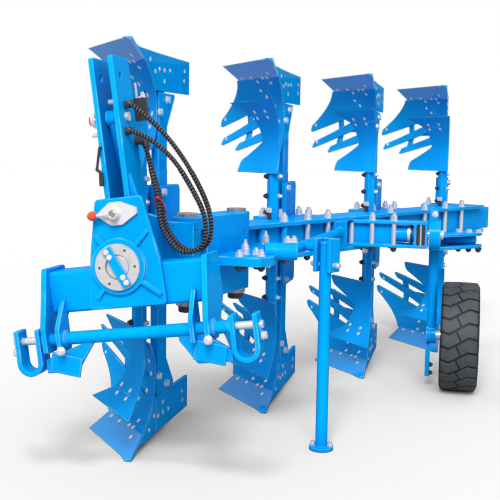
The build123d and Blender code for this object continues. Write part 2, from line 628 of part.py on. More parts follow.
foot = beam_plate(CARRIER_ALONG - CARRIER_FOOT, CARRIER_ALONG + CARRIER_FOOT, far, CLAMP_FRONT,
                  -HALF_BEAM, BEAM_SIDE)
carrier_tube = rod(boss_stop - boss_line * ADJUSTER_BOSS_DIA / 2, carrier_end, CARRIER_DIA) - carrier

# Stand: bracket with two ears on a stub from the carrier tube, bolt and leg
STAND_TUBE = Vector(STAND_X, STAND_Y, 0)
STAND_PIVOT = AXIS_HEIGHT - STAND_PIVOT_DROP
STAND_TOP = AXIS_HEIGHT + STAND_TOP_RISE


def stand_local(shape):
    """From the stand's own place, with X square to the beam and Y along it, to the plough."""
    return Plane(origin=STAND_TUBE, x_dir=(ACROSS.X, ACROSS.Y, 0), z_dir=(0, 0, 1)) * shape


half_ears = STAND_DIA / 2 + 3
outer_ears = half_ears + STAND_EAR
EAR_LOW, EAR_HIGH = STAND_PIVOT - 30, STAND_TOP + 15
EAR_FRONT, EAR_BACK = -32.0, 45.0
STUB_LENGTH = 110.0
BOLT_END = 12.0
bridge_front = STAND_DIA / 2 + STAND_CLEAR
bracket = block(-half_ears, half_ears, bridge_front, EAR_BACK, STAND_PIVOT + STAND_DIA / 2 + STAND_CLEAR,
                EAR_HIGH)
for ear in (-outer_ears, half_ears):
    bracket += block(ear, ear + STAND_EAR, EAR_FRONT, EAR_BACK, EAR_LOW, EAR_HIGH)
bracket += rod((-outer_ears - STUB_LENGTH, 0, boss_height), (-outer_ears, 0, boss_height),
               CARRIER_DIA - 8)
bolt_hole = rod((-2 * outer_ears, 0, STAND_PIVOT), (2 * outer_ears, 0, STAND_PIVOT),
                STAND_BOLT + 2 * RUNNING)
stand_bracket = (stand_local(bracket - bolt_hole) - carrier_tube - carrier).solids()
nodes["stand_bracket"] = [max(stand_bracket, key=lambda solid: solid.volume)]
nodes["stand_pivot_bolt"] = [stand_local(rod((-outer_ears - BOLT_END, 0, STAND_PIVOT),
                                             (outer_ears + BOLT_END, 0, STAND_PIVOT),
                                             STAND_BOLT))]
stand = rod((0, 0, STAND_FOOT_THICK), (0, 0, STAND_TOP), STAND_DIA)
stand += rod((0, 0, 0), (0, 0, STAND_FOOT_THICK), STAND_FOOT_DIA)
nodes["stand_leg"] = [stand_local(stand - bolt_hole).solid()]
nodes["carrier_tube"] = [carrier_tube + foot]

# Outrigger: two plates with webs, a neck tube and an open box at the wheel arm's pivot
def beam_face_x(y):
    """Where the beam's front face stands at a place along the furrows."""
    face = Vector(*beam_point(0, far))
    return face.X + (y - face.Y) * ALONG.X / ALONG.Y


WEB_SET = 30.0             # webs behind the edges of the plates
WEB_THICK = 12.0
box_left = OUTRIGGER_END - OUTRIGGER_BOX
web_end = box_left - OUTRIGGER_NECK
plate_plan = ((beam_face_x(OUTRIGGER_FRONT), OUTRIGGER_FRONT), (OUTRIGGER_END, OUTRIGGER_FRONT),
              (OUTRIGGER_END, OUTRIGGER_REAR), (beam_face_x(OUTRIGGER_REAR), OUTRIGGER_REAR))
outrigger = plate_xy(plate_plan, AXIS_HEIGHT - HALF_BEAM, OUTRIGGER_PLATE)
outrigger += plate_xy(plate_plan, AXIS_HEIGHT + HALF_BEAM - OUTRIGGER_PLATE, OUTRIGGER_PLATE)
for y in (OUTRIGGER_FRONT + WEB_SET, OUTRIGGER_REAR - WEB_SET - WEB_THICK):
    web_plan = ((beam_face_x(y), y), (web_end, y), (web_end, y + WEB_THICK),
                (beam_face_x(y + WEB_THICK), y + WEB_THICK))
    outrigger += plate_xy(web_plan, AXIS_HEIGHT - HALF_BEAM, BEAM_SIDE)
outrigger += block(web_end - WEB_THICK, web_end, OUTRIGGER_FRONT + WEB_SET, OUTRIGGER_REAR - WEB_SET,
                   AXIS_HEIGHT - HALF_BEAM, AXIS_HEIGHT + HALF_BEAM)
for wall in (box_left, OUTRIGGER_END - WEB_THICK):
    outrigger += block(wall, wall + WEB_THICK, OUTRIGGER_FRONT, OUTRIGGER_REAR, AXIS_HEIGHT - HALF_BEAM,
                       AXIS_HEIGHT + HALF_BEAM)
outrigger += rod((web_end, ARM_PIVOT_Y, AXIS_HEIGHT), (box_left, ARM_PIVOT_Y, AXIS_HEIGHT), NECK_DIA)
ARM_LOW = OUTRIGGER_END + ARM_HUB_GAP
ARM_HIGH = ARM_LOW + ARM_HUB_WIDTH
PIN_OVER = 14.0
arm_pin = rod((web_end, ARM_PIVOT_Y, AXIS_HEIGHT), (ARM_HIGH + PIN_OVER, ARM_PIVOT_Y, AXIS_HEIGHT),
              ARM_PIN_DIA)
nodes["outrigger"] = [(outrigger - arm_pin).solid()]
nodes["arm_pin"] = [arm_pin]
OUT_SPACERS = (640.0, 750.0, 866.0)
spacer_y = OUTRIGGER_FRONT + SPACER_DIA / 2 + 2
spacer_half = HALF_BEAM - OUTRIGGER_PLATE
nodes["clamp_spacers"] += [rod((x, spacer_y, AXIS_HEIGHT - spacer_half),
                               (x, spacer_y, AXIS_HEIGHT + spacer_half), SPACER_DIA)
                           for x in OUT_SPACERS]

# Wheel arm: hub on the pivot, two clamp plates, and the bent tube down to the axle
WHEEL_Z = TYRE_DIA / 2
arm_z = AXIS_HEIGHT - ARM_DROP
arm_hub = rod((ARM_LOW, ARM_PIVOT_Y, AXIS_HEIGHT), (ARM_HIGH, ARM_PIVOT_Y, AXIS_HEIGHT), ARM_HUB_DIA)
elbow_y = ARM_PIVOT_Y + ARM_ELBOW_BACK
reach_y = elbow_y + ARM_REACH_BACK
clamp_plan = ((ARM_LOW + 9, ARM_PIVOT_Y), (ARM_HIGH, ARM_PIVOT_Y), (ARM_REACH_X + 20, reach_y - 50),
              (ARM_REACH_X + 40, reach_y + 10), (ARM_REACH_X - 20, reach_y + 30),
              (ARM_LOW + 9, elbow_y - 30))
for low in (arm_z + ARM_TUBE_DIA / 2, arm_z - ARM_TUBE_DIA / 2 - ARM_CLAMP):
    arm_hub += plate_xy(clamp_plan, low, ARM_CLAMP)
arm_path = FilletPolyline((ARM_REACH_X, reach_y, arm_z), (ARM_X, elbow_y, arm_z),
                          (ARM_X, WHEEL_Y, WHEEL_Z),
                          radius=ARM_BEND)
arm_tube = sweep(Plane(origin=arm_path @ 0, z_dir=arm_path % 0) * Circle(ARM_TUBE_DIA / 2), arm_path)
axle_low, axle_high = ARM_X - ARM_TUBE_DIA / 2, ARM_X + ARM_TUBE_DIA / 2
arm_tube += rod((axle_low, WHEEL_Y, WHEEL_Z), (axle_high, WHEEL_Y, WHEEL_Z), AXLE_BOSS_DIA)
pin_space = rod((ARM_LOW, ARM_PIVOT_Y, AXIS_HEIGHT), (ARM_HIGH + 2 * PIN_OVER, ARM_PIVOT_Y, AXIS_HEIGHT),
                ARM_PIN_DIA + 2 * RUNNING)
nodes["wheel_arm"] = [(arm_hub + arm_tube - pin_space).solid()]
AXLE_PAST = 60.0           # axle past the wheel's middle
nodes["wheel_axle"] = [rod((axle_high, WHEEL_Y, WHEEL_Z), (WHEEL_X + AXLE_PAST, WHEEL_Y, WHEEL_Z),
                           AXLE_DIA)]

# Tyre and rim, turned about the axle
wheel_plane = Plane(origin=(WHEEL_X, WHEEL_Y, WHEEL_Z), x_dir=(1, 0, 0), z_dir=(0, -1, 0))
half_tyre = TYRE_WIDTH / 2
bead = RIM_DIA / 2
section = TYRE_DIA / 2 - bead
BEAD_IN = 20.0
SHOULDER = 0.2             # shoulder and widest place, as parts of the tyre's section
WIDEST = 0.46
profile = ((-half_tyre + BEAD_IN, bead), (half_tyre - BEAD_IN, bead),
           (half_tyre, bead + WIDEST * section),
           (half_tyre, TYRE_DIA / 2 - SHOULDER * section), (half_tyre - SHOULDER * section, TYRE_DIA / 2),
           (-half_tyre + SHOULDER * section, TYRE_DIA / 2),
           (-half_tyre, TYRE_DIA / 2 - SHOULDER * section),
           (-half_tyre, bead + WIDEST * section))
nodes["tyre"] = [revolve(wheel_plane * outline(profile, 0.09 * section),
                         Axis((WHEEL_X, WHEEL_Y, WHEEL_Z), (1, 0, 0)))]


def turned(low, high, dia):
    """Round piece on the axle's line between two places across the wheel."""
    return rod((WHEEL_X + low, WHEEL_Y, WHEEL_Z), (WHEEL_X + high, WHEEL_Y, WHEEL_Z), dia)


RIM_HALF = half_tyre - BEAD_IN - 2
DISC_HALF = 8.0
HUB_IN, HUB_OUT = -70.0, 75.0
rim = turned(-RIM_HALF, RIM_HALF, RIM_DIA)
rim -= turned(-RIM_HALF, -DISC_HALF, RIM_DIA - 2 * RIM_WALL) + turned(DISC_HALF, RIM_HALF,
                                                                      RIM_DIA - 2 * RIM_WALL)
rim += turned(HUB_IN, HUB_OUT, WHEEL_HUB_DIA)
rim -= turned(HUB_IN, AXLE_PAST + 2, AXLE_DIA + 2 * RUNNING)
nodes["wheel_rim"] = [rim.solid()]

# Headstock, drawn upright about the turnover axis and then leaned over
head_nodes = {}
WIDE = 1000.0              # wider than the headstock
hub_space = rod((0, HUB_FRONT, 0), (0, 0, 0), HUB_DIA)
CROSS_REAR = CROSS_FRONT + CROSS_DEPTH
CROSS_ROUND = 12.0
cross = block(CROSS_X - CROSS_HALF, CROSS_X + CROSS_HALF, CROSS_FRONT, CROSS_REAR, CROSS_LOW, CROSS_HIGH)
cross = fillet(cross.edges().filter_by(Axis.X), CROSS_ROUND)
cross -= block(-WIDE, WIDE, CROSS_FRONT + CROSS_WALL, CROSS_REAR - CROSS_WALL, CROSS_LOW + CROSS_WALL,
               CROSS_HIGH - CROSS_WALL)
head_nodes["headstock_beam"] = [(cross - hub_space).solid()]

FACE_FRONT = CROSS_FRONT - FACE_THICK
FACE_ROUND = 14.0
face_points = ((-62, 249), (115, 249), (158, 10), (165, -150), (-138, -150), (-104, 55))
housing = plate_xz(face_points, FACE_FRONT, FACE_THICK, FACE_ROUND)
housing += rod((0, HUB_FRONT, 0), (0, HUB_REAR, 0), HUB_DIA)
# Ribs on the face plate: turn from the land side, and reach from the axis
FACE_RIBS = ((44, 173), (122, 143), (229, 143), (323, 188))
for turn, reach in FACE_RIBS:
    rib = block(HUB_DIA / 2 - RIB_PROUD, reach, FACE_FRONT - RIB_PROUD, FACE_FRONT, -RIB_WIDTH / 2,
                RIB_WIDTH / 2)
    housing += Rot(0, -turn, 0) * rib
housing -= rod((0, HUB_FRONT, 0), (0, 0, 0), SHAFT_BORE)
head_nodes["bearing_housing"] = [housing.solid()]

# Tower plates, the brace beside them, and the turnover cylinder between them
TOWER_TOP = TOP_LINK_HEIGHT + TOWER_OVER
TOWER_LEFT = TOWER_X - TOWER_GAP / 2 - TOWER_PLATE
TOWER_RIGHT = TOWER_X + TOWER_GAP / 2 + TOWER_PLATE
TOWER_BACK = CROSS_FRONT + TOWER_DEPTH
TOWER_FLARE = 40.0
CYLINDER_PIN_HEIGHT = TOP_LINK_HEIGHT - CYLINDER_PIN_DROP
tower_points = ((CROSS_FRONT, CROSS_HIGH), (CROSS_FRONT, TOWER_TOP), (TOWER_BACK, TOWER_TOP),
                (TOWER_BACK, 330),
                (CROSS_REAR + TOWER_FLARE, 120), (CROSS_REAR + TOWER_FLARE, 60), (CROSS_REAR, CROSS_HIGH))
top_link_y = CROSS_FRONT + TOP_LINK_SET
top_link_bore = rod((-WIDE, top_link_y, TOP_LINK_HEIGHT), (WIDE, top_link_y, TOP_LINK_HEIGHT),
                    TOP_LINK_BORE)
cylinder_bore = rod((-WIDE, CYLINDER_PIN_Y, CYLINDER_PIN_HEIGHT),
                    (WIDE, CYLINDER_PIN_Y, CYLINDER_PIN_HEIGHT), CYLINDER_PIN_DIA)
head_nodes["tower_plates"] = []
for low in (TOWER_LEFT, TOWER_RIGHT - TOWER_PLATE):
    tower = plate_yz(tower_points, low, TOWER_PLATE, CROSS_ROUND)
    head_nodes["tower_plates"].append((tower - top_link_bore - cylinder_bore - hub_space).solid())
BRACE_TOP, BRACE_REACH, BRACE_FOOT = 330.0, 139.0, 33.0
brace_points = ((TOWER_RIGHT, CROSS_HIGH), (BRACE_REACH, CROSS_HIGH), (BRACE_REACH, BRACE_FOOT),
                (TOWER_RIGHT + 6, BRACE_TOP),
                (TOWER_RIGHT, BRACE_TOP))
head_nodes["tower_brace"] = [(plate_xz(brace_points, CROSS_FRONT + TOWER_PLATE,
                                       TOWER_PLATE) - hub_space).solid()]
PIN_LEFT, PIN_RIGHT = 25.0, 12.0
head_nodes["cylinder_pin"] = [rod((TOWER_LEFT - PIN_LEFT, CYLINDER_PIN_Y, CYLINDER_PIN_HEIGHT),
                                  (TOWER_RIGHT + PIN_RIGHT, CYLINDER_PIN_Y, CYLINDER_PIN_HEIGHT),
                                  CYLINDER_PIN_DIA)]

cylinder_top = Vector(TOWER_X, CYLINDER_PIN_Y, CYLINDER_PIN_HEIGHT)
cylinder_foot = Vector(TOWER_X, -186, 150)
down = (cylinder_foot - cylinder_top).normalized()
side = Vector(1, 0, 0)
EYE_HALF = 24.0
barrel_end = cylinder_top + down * CYLINDER_BARREL
barrel = rod(cylinder_top, barrel_end, CYLINDER_DIA)
barrel += rod(cylinder_top - side * EYE_HALF, cylinder_top + side * EYE_HALF, CYLINDER_DIA + 10)
head_nodes["cylinder_barrel"] = [(barrel - cylinder_bore).solid()]
piston = rod(barrel_end, cylinder_foot, CYLINDER_ROD_DIA)
piston += rod(cylinder_foot - side * EYE_HALF, cylinder_foot + side * EYE_HALF, 2 * CYLINDER_ROD_DIA)
piston -= rod(cylinder_foot - side * WIDE, cylinder_foot + side * WIDE, CYLINDER_ROD_DIA)
head_nodes["cylinder_rod"] = [piston.solid()]

# Lower hitch: end plates, inner plates, gussets, drawbar, clevises and pins
HALF_SPAN = HITCH_SPAN / 2


def both_ends(shape, middle):
    """A piece on the land side of the headstock and its mirror image about the middle."""
    return [shape, mirror(shape, about=Plane.YZ.offset(middle))]


def along_drawbar(low, high, dia):
    """Round piece on the drawbar's line."""
    return rod((low, HITCH_Y, -HITCH_DROP), (high, HITCH_Y, -HITCH_DROP), dia)


PLATE_FRONT = HITCH_Y - 44
PLATE_SHOULDER = -200.0
end_right = CROSS_X + CROSS_HALF
rib_right = CROSS_X + RIB_X
end_points = ((CROSS_FRONT - 20, 15), (CROSS_REAR, 15), (CROSS_REAR, CROSS_LOW),
              (CROSS_FRONT + 20, BRACKET_LOW),
              (PLATE_FRONT, BRACKET_LOW), (PLATE_FRONT, PLATE_SHOULDER))
rib_points = ((CROSS_FRONT, -90), (CROSS_FRONT, BRACKET_LOW), (PLATE_FRONT, BRACKET_LOW),
              (PLATE_FRONT, PLATE_SHOULDER))
BRACKET_ROUND = 9.0
drawbar_hole = along_drawbar(-WIDE, WIDE, DRAWBAR_DIA)
# Gussets under the drawbar: plan of the left and of the right one
GUSSETS = (((-316, -318), (-150, -262), (-125, -262), (-125, -270), (-170, -330), (-196, GUSSET_LOW),
            (-316, GUSSET_LOW)),
           ((207, -262), (300, -262), (398, -330), (398, GUSSET_LOW), (268, GUSSET_LOW), (207, -280)))
gussets = []
for points in GUSSETS:
    gussets.append((plate_xz(points, HITCH_Y - GUSSET_PLATE / 2, GUSSET_PLATE, 4) - drawbar_hole).solid())
head_nodes["bracket_gussets"] = gussets
brackets = both_ends(plate_yz(end_points, end_right, END_PLATE, BRACKET_ROUND), CROSS_X)
brackets += both_ends(plate_yz(rib_points, rib_right, RIB_PLATE, BRACKET_ROUND), CROSS_X)
head_nodes["link_brackets"] = [(plate - drawbar_hole - gussets[0] - gussets[1]).solid()
                               for plate in brackets]

half_clevis = CLEVIS_GAP / 2 + CLEVIS_THICK
draw_left, draw_right = HITCH_X - HALF_SPAN + half_clevis, HITCH_X + HALF_SPAN - half_clevis
drawbar = along_drawbar(draw_left, draw_right, DRAWBAR_DIA)
collar_places = (CROSS_X - RIB_X, end_right + END_PLATE, draw_right - DRAWBAR_COLLAR)
for low in collar_places:
    drawbar += along_drawbar(low, low + DRAWBAR_COLLAR, DRAWBAR_COLLAR_DIA)
head_nodes["drawbar"] = [(drawbar - gussets[0] - gussets[1]).solid()]

bend_z = CLEVIS_TOP - CLEVIS_HEIGHT + half_clevis
half_width = CLEVIS_WIDTH / 2
clevis = block(-half_clevis, half_clevis, -half_width, half_width, bend_z, CLEVIS_TOP)
clevis += rod((0, -half_width, bend_z), (0, half_width, bend_z), 2 * half_clevis)
clevis -= block(-CLEVIS_GAP / 2, CLEVIS_GAP / 2, -half_width, half_width, bend_z, CLEVIS_TOP)
clevis -= rod((0, -half_width, bend_z), (0, half_width, bend_z), CLEVIS_GAP)
clevis = Pos(HITCH_X + HALF_SPAN, HITCH_Y, -HITCH_DROP) * clevis
PIN_PAST = 14.0
hitch_pin = along_drawbar(draw_right + 1, HITCH_X + HALF_SPAN + half_clevis + PIN_PAST, HITCH_PIN_DIA)
head_nodes["link_clevises"] = both_ends((clevis - hitch_pin).solid(), HITCH_X)
head_nodes["hitch_pins"] = both_ends(hitch_pin, HITCH_X)

# Latch plate with its lever and ball
LATCH_X, LATCH_Z = 15.0, 193.0
LATCH_THICK = 12.0
LEVER_Y = FACE_FRONT - 30
BALL_X, BALL_RADIUS = -67.0, 17.0
latch_points = ((-78, 0), (-20, -42), (20, -42), (82, -6), (82, 14), (20, 42), (-20, 42))
head_nodes["latch_plate"] = [Pos(LATCH_X, 0, LATCH_Z) * plate_xz(latch_points, FACE_FRONT - LATCH_THICK,
                                                                 LATCH_THICK, 8)]
ball_side = BALL_X + BALL_RADIUS
lever = rod((LATCH_X, LEVER_Y, LATCH_Z), (ball_side - 4, LEVER_Y, LATCH_Z), LATCH_THICK)
lever += rod((LATCH_X, LEVER_Y - 8, LATCH_Z), (LATCH_X, FACE_FRONT - LATCH_THICK, LATCH_Z), 30)
head_nodes["latch_lever"] = [lever.solid()]
# Ball as a turned profile: places along the lever and radii, as parts of its radius
BALL_PROFILE = ((-1, 0), (-1, 0.38), (-0.7, 0.72), (-0.27, 0.97), (0.27, 0.97), (0.7, 0.72), (1, 0.38),
                (1, 0))
ball_face = outline([(x * BALL_RADIUS, r * BALL_RADIUS) for x, r in BALL_PROFILE])
ball = Pos(BALL_X, LEVER_Y, LATCH_Z) * revolve(ball_face, Axis.X)
head_nodes["latch_knob"] = [(ball - lever).solid()]

# Bent handle in front of the left tower plate
HANDLE = ((-20, -370, 435), (-20, -386, 435), (-40, -386, 357), (-25, -386, 345), (-29, -386, 297))
HANDLE_DIA, GRIP_DIA = 10.0, 16.0
handle = rod(HANDLE[0], HANDLE[1], HANDLE_DIA)
for place, after in zip(HANDLE[1:-1], HANDLE[2:]):
    handle += rod(place, after, HANDLE_DIA) + Pos(*place) * Sphere(HANDLE_DIA / 2)
handle += rod(HANDLE[-2], HANDLE[-1], GRIP_DIA)
head_nodes["tower_handle"] = [handle.solid()]

# Two hydraulic hoses that hang in a loop beside the tower, from its side down and back up behind it
HOSE_A = ((88, -300, 582), (140, -292, 536), (222, -280, 430), (286, -266, 300), (330, -252, 160),
          (317, -242, 53),
          (261, -234, 15), (194, -228, 29), (136, -221, 122), (130, -214, 235), (106, -215, 366),
          (94, -218, 436))
HOSE_B = ((88, -325, 484), (146, -323, 458), (232, -312, 366), (284, -302, 250), (320, -294, 150),
          (308, -286, 53),
          (252, -280, 15), (185, -273, 29), (131, -265, 122), (134, -256, 232), (113, -245, 362),
          (107, -240, 424))
FITTING_LENGTH = 26.0
fittings = []
for name, points in (("hose_a", HOSE_A), ("hose_b", HOSE_B)):
    places = [Vector(*point) for point in points]
    radii = []
    for before, corner, after in zip(places, places[1:], places[2:]):
        run_in, run_out = corner - before, after - corner
        turn = radians(run_in.get_angle(run_out))
        radii.append(0.45 * min(run_in.length, run_out.length) / tan(turn / 2))
    print(name, "bend radii", [round(radius) for radius in radii])
    hose_path = FilletPolyline(*points, radius=radii)
    head_nodes[name] = [sweep(Plane(origin=hose_path @ 0, z_dir=hose_path % 0) * Circle(HOSE_DIA / 2),
                              hose_path)]
    start, end = places[0], places[-1]
    elbow = rod(start, start - (places[1] - start).normalized() * FITTING_LENGTH / 2, FITTING_DIA)
    elbow += rod((TOWER_RIGHT, start.Y, start.Z), (start.X - 4, start.Y, start.Z), FITTING_DIA)
    rise = (end - places[-2]).normalized()
    riser = rod(end, end + rise * FITTING_LENGTH, FITTING_DIA)
    top = end + rise * FITTING_LENGTH
    riser += rod((TOWER_RIGHT, top.Y, top.Z), (top.X, top.Y, top.Z), FITTING_DIA)
    fittings += [(elbow - head_nodes[name][0]), (riser - head_nodes[name][0])]
tower_right = head_nodes["tower_plates"][1]
head_nodes["hose_fittings"] = [max((fitting - tower_right).solids(), key=lambda solid: solid.volume)
                               for fitting in fittings]

lean = Pos(0, 0, AXIS_HEIGHT) * Rot(0, -HEADSTOCK_ROLL, 0)
for name, solids in head_nodes.items():
    nodes[name] = [lean * solid for solid in solids]

whole = Compound([solid for solids in nodes.values() for solid in solids]).bounding_box()
origin = Pos(-(whole.min.X + whole.max.X) / 2, -(whole.min.Y + whole.max.Y) / 2, -whole.min.Z)
os.makedirs("parts", exist_ok=True)
for name, solids in nodes.items():
    flat = [piece for solid in solids for piece in (origin * solid).solids()]
    export_step(Compound(flat), f"parts/{name}.step")
print("moved by", origin.position, "size", whole.size)
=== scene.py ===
import bmesh
import bpy
import json
import math
from mathutils import Matrix, Vector


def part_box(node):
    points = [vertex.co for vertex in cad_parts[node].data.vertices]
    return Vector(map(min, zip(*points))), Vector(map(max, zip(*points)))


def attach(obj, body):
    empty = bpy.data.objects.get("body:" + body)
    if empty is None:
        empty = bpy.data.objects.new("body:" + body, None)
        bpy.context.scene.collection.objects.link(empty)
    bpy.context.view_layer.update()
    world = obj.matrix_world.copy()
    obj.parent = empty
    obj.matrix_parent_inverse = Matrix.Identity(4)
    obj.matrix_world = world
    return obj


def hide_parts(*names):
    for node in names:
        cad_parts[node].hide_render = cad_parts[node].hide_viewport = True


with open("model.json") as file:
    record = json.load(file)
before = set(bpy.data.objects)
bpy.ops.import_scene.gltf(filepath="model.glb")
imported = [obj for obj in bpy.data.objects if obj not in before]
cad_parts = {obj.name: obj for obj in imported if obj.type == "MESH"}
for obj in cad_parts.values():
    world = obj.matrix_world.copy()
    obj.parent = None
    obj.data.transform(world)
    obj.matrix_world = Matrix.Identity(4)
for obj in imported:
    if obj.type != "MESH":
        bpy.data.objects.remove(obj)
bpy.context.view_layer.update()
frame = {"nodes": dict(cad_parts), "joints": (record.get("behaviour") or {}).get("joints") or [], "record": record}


# Plates, beam and bodies. Rolled and pressed steel, welded and bolted together, then sprayed
# with blue gloss enamel; painted shade in the corners, painted highlights along the edges.
class Flow:
    """One socket of a material's nodes. Arithmetic on it adds Math nodes."""

    def __init__(self, tree, socket=None):
        self.tree = tree
        self.socket = socket

    def node(self, kind, settings=None, inputs=None, out=0):
        """Adds a node: its settings first, with a ramp's stops as places and shades, then its sockets."""
        made = self.tree.nodes.new("ShaderNode" + kind)
        for name, value in (settings or {}).items():
            if name != "stops":
                setattr(made, name, value)
                continue
            for element, (place, shade) in zip(made.color_ramp.elements, value):
                element.position = place
                element.color = (shade, shade, shade, 1)
        for name, value in (inputs or {}).items():
            if isinstance(value, Flow):
                self.tree.links.new(value.socket, made.inputs[name])
            else:
                made.inputs[name].default_value = value
        return Flow(self.tree, made.outputs[out])

    def math(self, operation, first, second):
        return self.node("Math", {"operation": operation}, {0: first, 1: second})

    def __add__(self, other):
        return self.math("ADD", self, other)

    def __radd__(self, other):
        return self.math("ADD", other, self)

    def __mul__(self, other):
        return self.math("MULTIPLY", self, other)


def new_finish(name):
    """A material, the flow of its nodes, and the place on the piece that its noise goes by."""
    finish = bpy.data.materials.new(name)
    finish.use_nodes = True
    flow = Flow(finish.node_tree)
    return finish, flow, flow.node("TexCoord", out="Object")


def apply_coat(finish, sockets):
    """Sets the shader's sockets to numbers, colours or flows."""
    shader = finish.node_tree.nodes["Principled BSDF"]
    for name, value in sockets.items():
        if isinstance(value, Flow):
            finish.node_tree.links.new(value.socket, shader.inputs[name])
        else:
            shader.inputs[name].default_value = value


def cloud(flow, place, scale, detail):
    """Soft noise between 0 and 1, with a number of blots to the metre and of finer layers."""
    return flow.node("TexNoise", None, {"Vector": place, "Scale": scale, "Detail": detail})


def ramp(flow, share, start, end):
    """A share drawn out between two stops, each a place and a shade."""
    return flow.node("ValToRGB", {"stops": (start, end)}, {0: share})


def blend(flow, share, first, second):
    """Colour that goes from one to another with a share."""
    return flow.node("Mix", {"data_type": "RGBA"}, {0: share, 6: first, 7: second}, 2)


def dress(names, finish):
    """Gives CAD nodes a finish."""
    for name in names:
        slots = frame["nodes"][name].data.materials
        slots.clear()
        slots.append(finish)


def nodes_of(slot):
    """CAD nodes that the record gives a material slot."""
    return [row["node"] for row in frame["record"]["subparts"] if row["material_slot"] == slot]


DEEP_BLUE, FULL_BLUE = (0.0, 0.30, 0.80, 1), (0.0, 0.37, 0.90, 1)
PAINTED_SHADE_BLUE = (0.0, 0.12, 0.42, 1)
EDGE_HIGHLIGHT_BLUE, STREAK_HIGHLIGHT_BLUE = (0.05, 0.62, 1.0, 1), (0.45, 0.84, 1.0, 1)
PAINTED_SHADE_REACH = 0.22
EDGE_RADIUS = 0.006
PAINTED_SHADE_SHARE, EDGE_HIGHLIGHT_SHARE, STREAK_HIGHLIGHT_SHARE = 0.65, 0.75, 0.7
enamel, flow, place = new_finish("blue_enamel")
spray = cloud(flow, place, 2.4, 3.0)
haze = cloud(flow, place, 14.0, 5.0)
peel = cloud(flow, place, 190.0, 1.0)
runs = cloud(flow, place, 34.0, 2.0)
patches = cloud(flow, place, 7.0, 3.0)
colour = blend(flow, ramp(flow, spray, (0.34, 0), (0.66, 1)), DEEP_BLUE, FULL_BLUE)
# Painted shade: occlusion darkens the blue in corners, recesses and between parts.
occlusion = flow.node("AmbientOcclusion", {"samples": 6}, {"Distance": PAINTED_SHADE_REACH}, "AO")
painted_shade = ramp(flow, occlusion, (0.2, 1), (0.75, 0))
colour = blend(flow, painted_shade * PAINTED_SHADE_SHARE, colour, PAINTED_SHADE_BLUE)
rounded = flow.node("Bevel", {"samples": 4}, {"Radius": EDGE_RADIUS})
flat = flow.node("NewGeometry", out="Normal")
turned = flow.node("VectorMath", {"operation": "DOT_PRODUCT"}, {0: rounded, 1: flat}, "Value")
# Painted highlight: the blue lightens along edges, where the bevelled normal turns from the flat one.
edges = ramp(flow, turned, (0.84, 1), (0.985, 0))
colour = blend(flow, edges * EDGE_HIGHLIGHT_SHARE, colour, EDGE_HIGHLIGHT_BLUE)
# Painted highlight: in noise patches the edges turn paler still, like streaks of light.
highlight_streaks = ramp(flow, patches, (0.50, 0), (0.60, 1))
colour = blend(flow, edges * highlight_streaks * STREAK_HIGHLIGHT_SHARE, colour, STREAK_HIGHLIGHT_BLUE)
skin = flow.node("Bump", None, {"Strength": 0.1, "Distance": 0.002, "Height": peel * 0.4 + runs,
                                "Normal": rounded})
apply_coat(enamel, {"Base Color": colour, "Roughness": 0.26 + haze * 0.14, "Normal": skin,
                    "Coat Weight": 0.06 + haze * 0.06, "Coat Roughness": 0.08, "Specular IOR Level": 0.0})
dress(nodes_of("blue_paint"), enamel)

# Shares and points. The same enamel under a second clear coat, so that they mirror
# the ground and the sky more than the other plates do.
CLEAR_COAT = 0.8
share_enamel = enamel.copy()
share_enamel.name = "share_enamel"
coat = share_enamel.node_tree.nodes["Principled BSDF"].inputs["Coat Weight"]
share_enamel.node_tree.links.remove(coat.links[0])
coat.default_value = CLEAR_COAT
dress(["shares", "chisel_points"], share_enamel)

# Pins, spacers and axle. Turned steel with a bright zinc coat,
# a little cloudy and yellow in places, with a fine grain.
GRAIN_DEPTH = 0.001


def grained(flow, height, strength):
    """A normal roughened by a height."""
    return flow.node("Bump", None, {"Strength": strength, "Distance": GRAIN_DEPTH, "Height": height})


ZINC_BRIGHT, ZINC_DULL = (0.96, 0.96, 0.97, 1), (0.76, 0.75, 0.72, 1)
zinc, flow, place = new_finish("bright_zinc")
cast = cloud(flow, place, 22.0, 4.0)
grain = cloud(flow, place, 420.0, 2.0)
apply_coat(zinc, {"Base Color": blend(flow, cast, ZINC_BRIGHT, ZINC_DULL), "Metallic": 0.65,
                  "Roughness": 0.16 + cast * 0.2, "Normal": grained(flow, grain, 0.03)})
dress(nodes_of("zinc"), zinc)

# Shaft and collar. Bare machined steel, turned fine and grey,
# the collar pressed against the front of the hub.
STEEL_LIGHT, STEEL_GREY = (0.72, 0.72, 0.74, 1), (0.44, 0.43, 0.42, 1)
machined, flow, place = new_finish("machined_steel")
cast = cloud(flow, place, 35.0, 3.0)
apply_coat(machined, {"Base Color": blend(flow, cast, STEEL_LIGHT, STEEL_GREY), "Metallic": 0.3,
                      "Roughness": 0.3 + cast * 0.2})
dress(["turnover_shaft", "shaft_collar"], machined)

# Latch plate. Cast plate with a gritty skin, painted white,
# bolted to the face of the bearing housing.
WHITE, WHITE_STAINED = (0.70, 0.70, 0.71, 1), (0.50, 0.50, 0.51, 1)
white_coat, flow, place = new_finish("white_coat")
stain = cloud(flow, place, 40.0, 5.0)
grit = cloud(flow, place, 300.0, 2.0)
apply_coat(white_coat, {"Base Color": blend(flow, stain, WHITE, WHITE_STAINED),
                        "Roughness": 0.3 + stain * 0.25, "Normal": grained(flow, grit, 0.12)})
dress(nodes_of("white_paint"), white_coat)

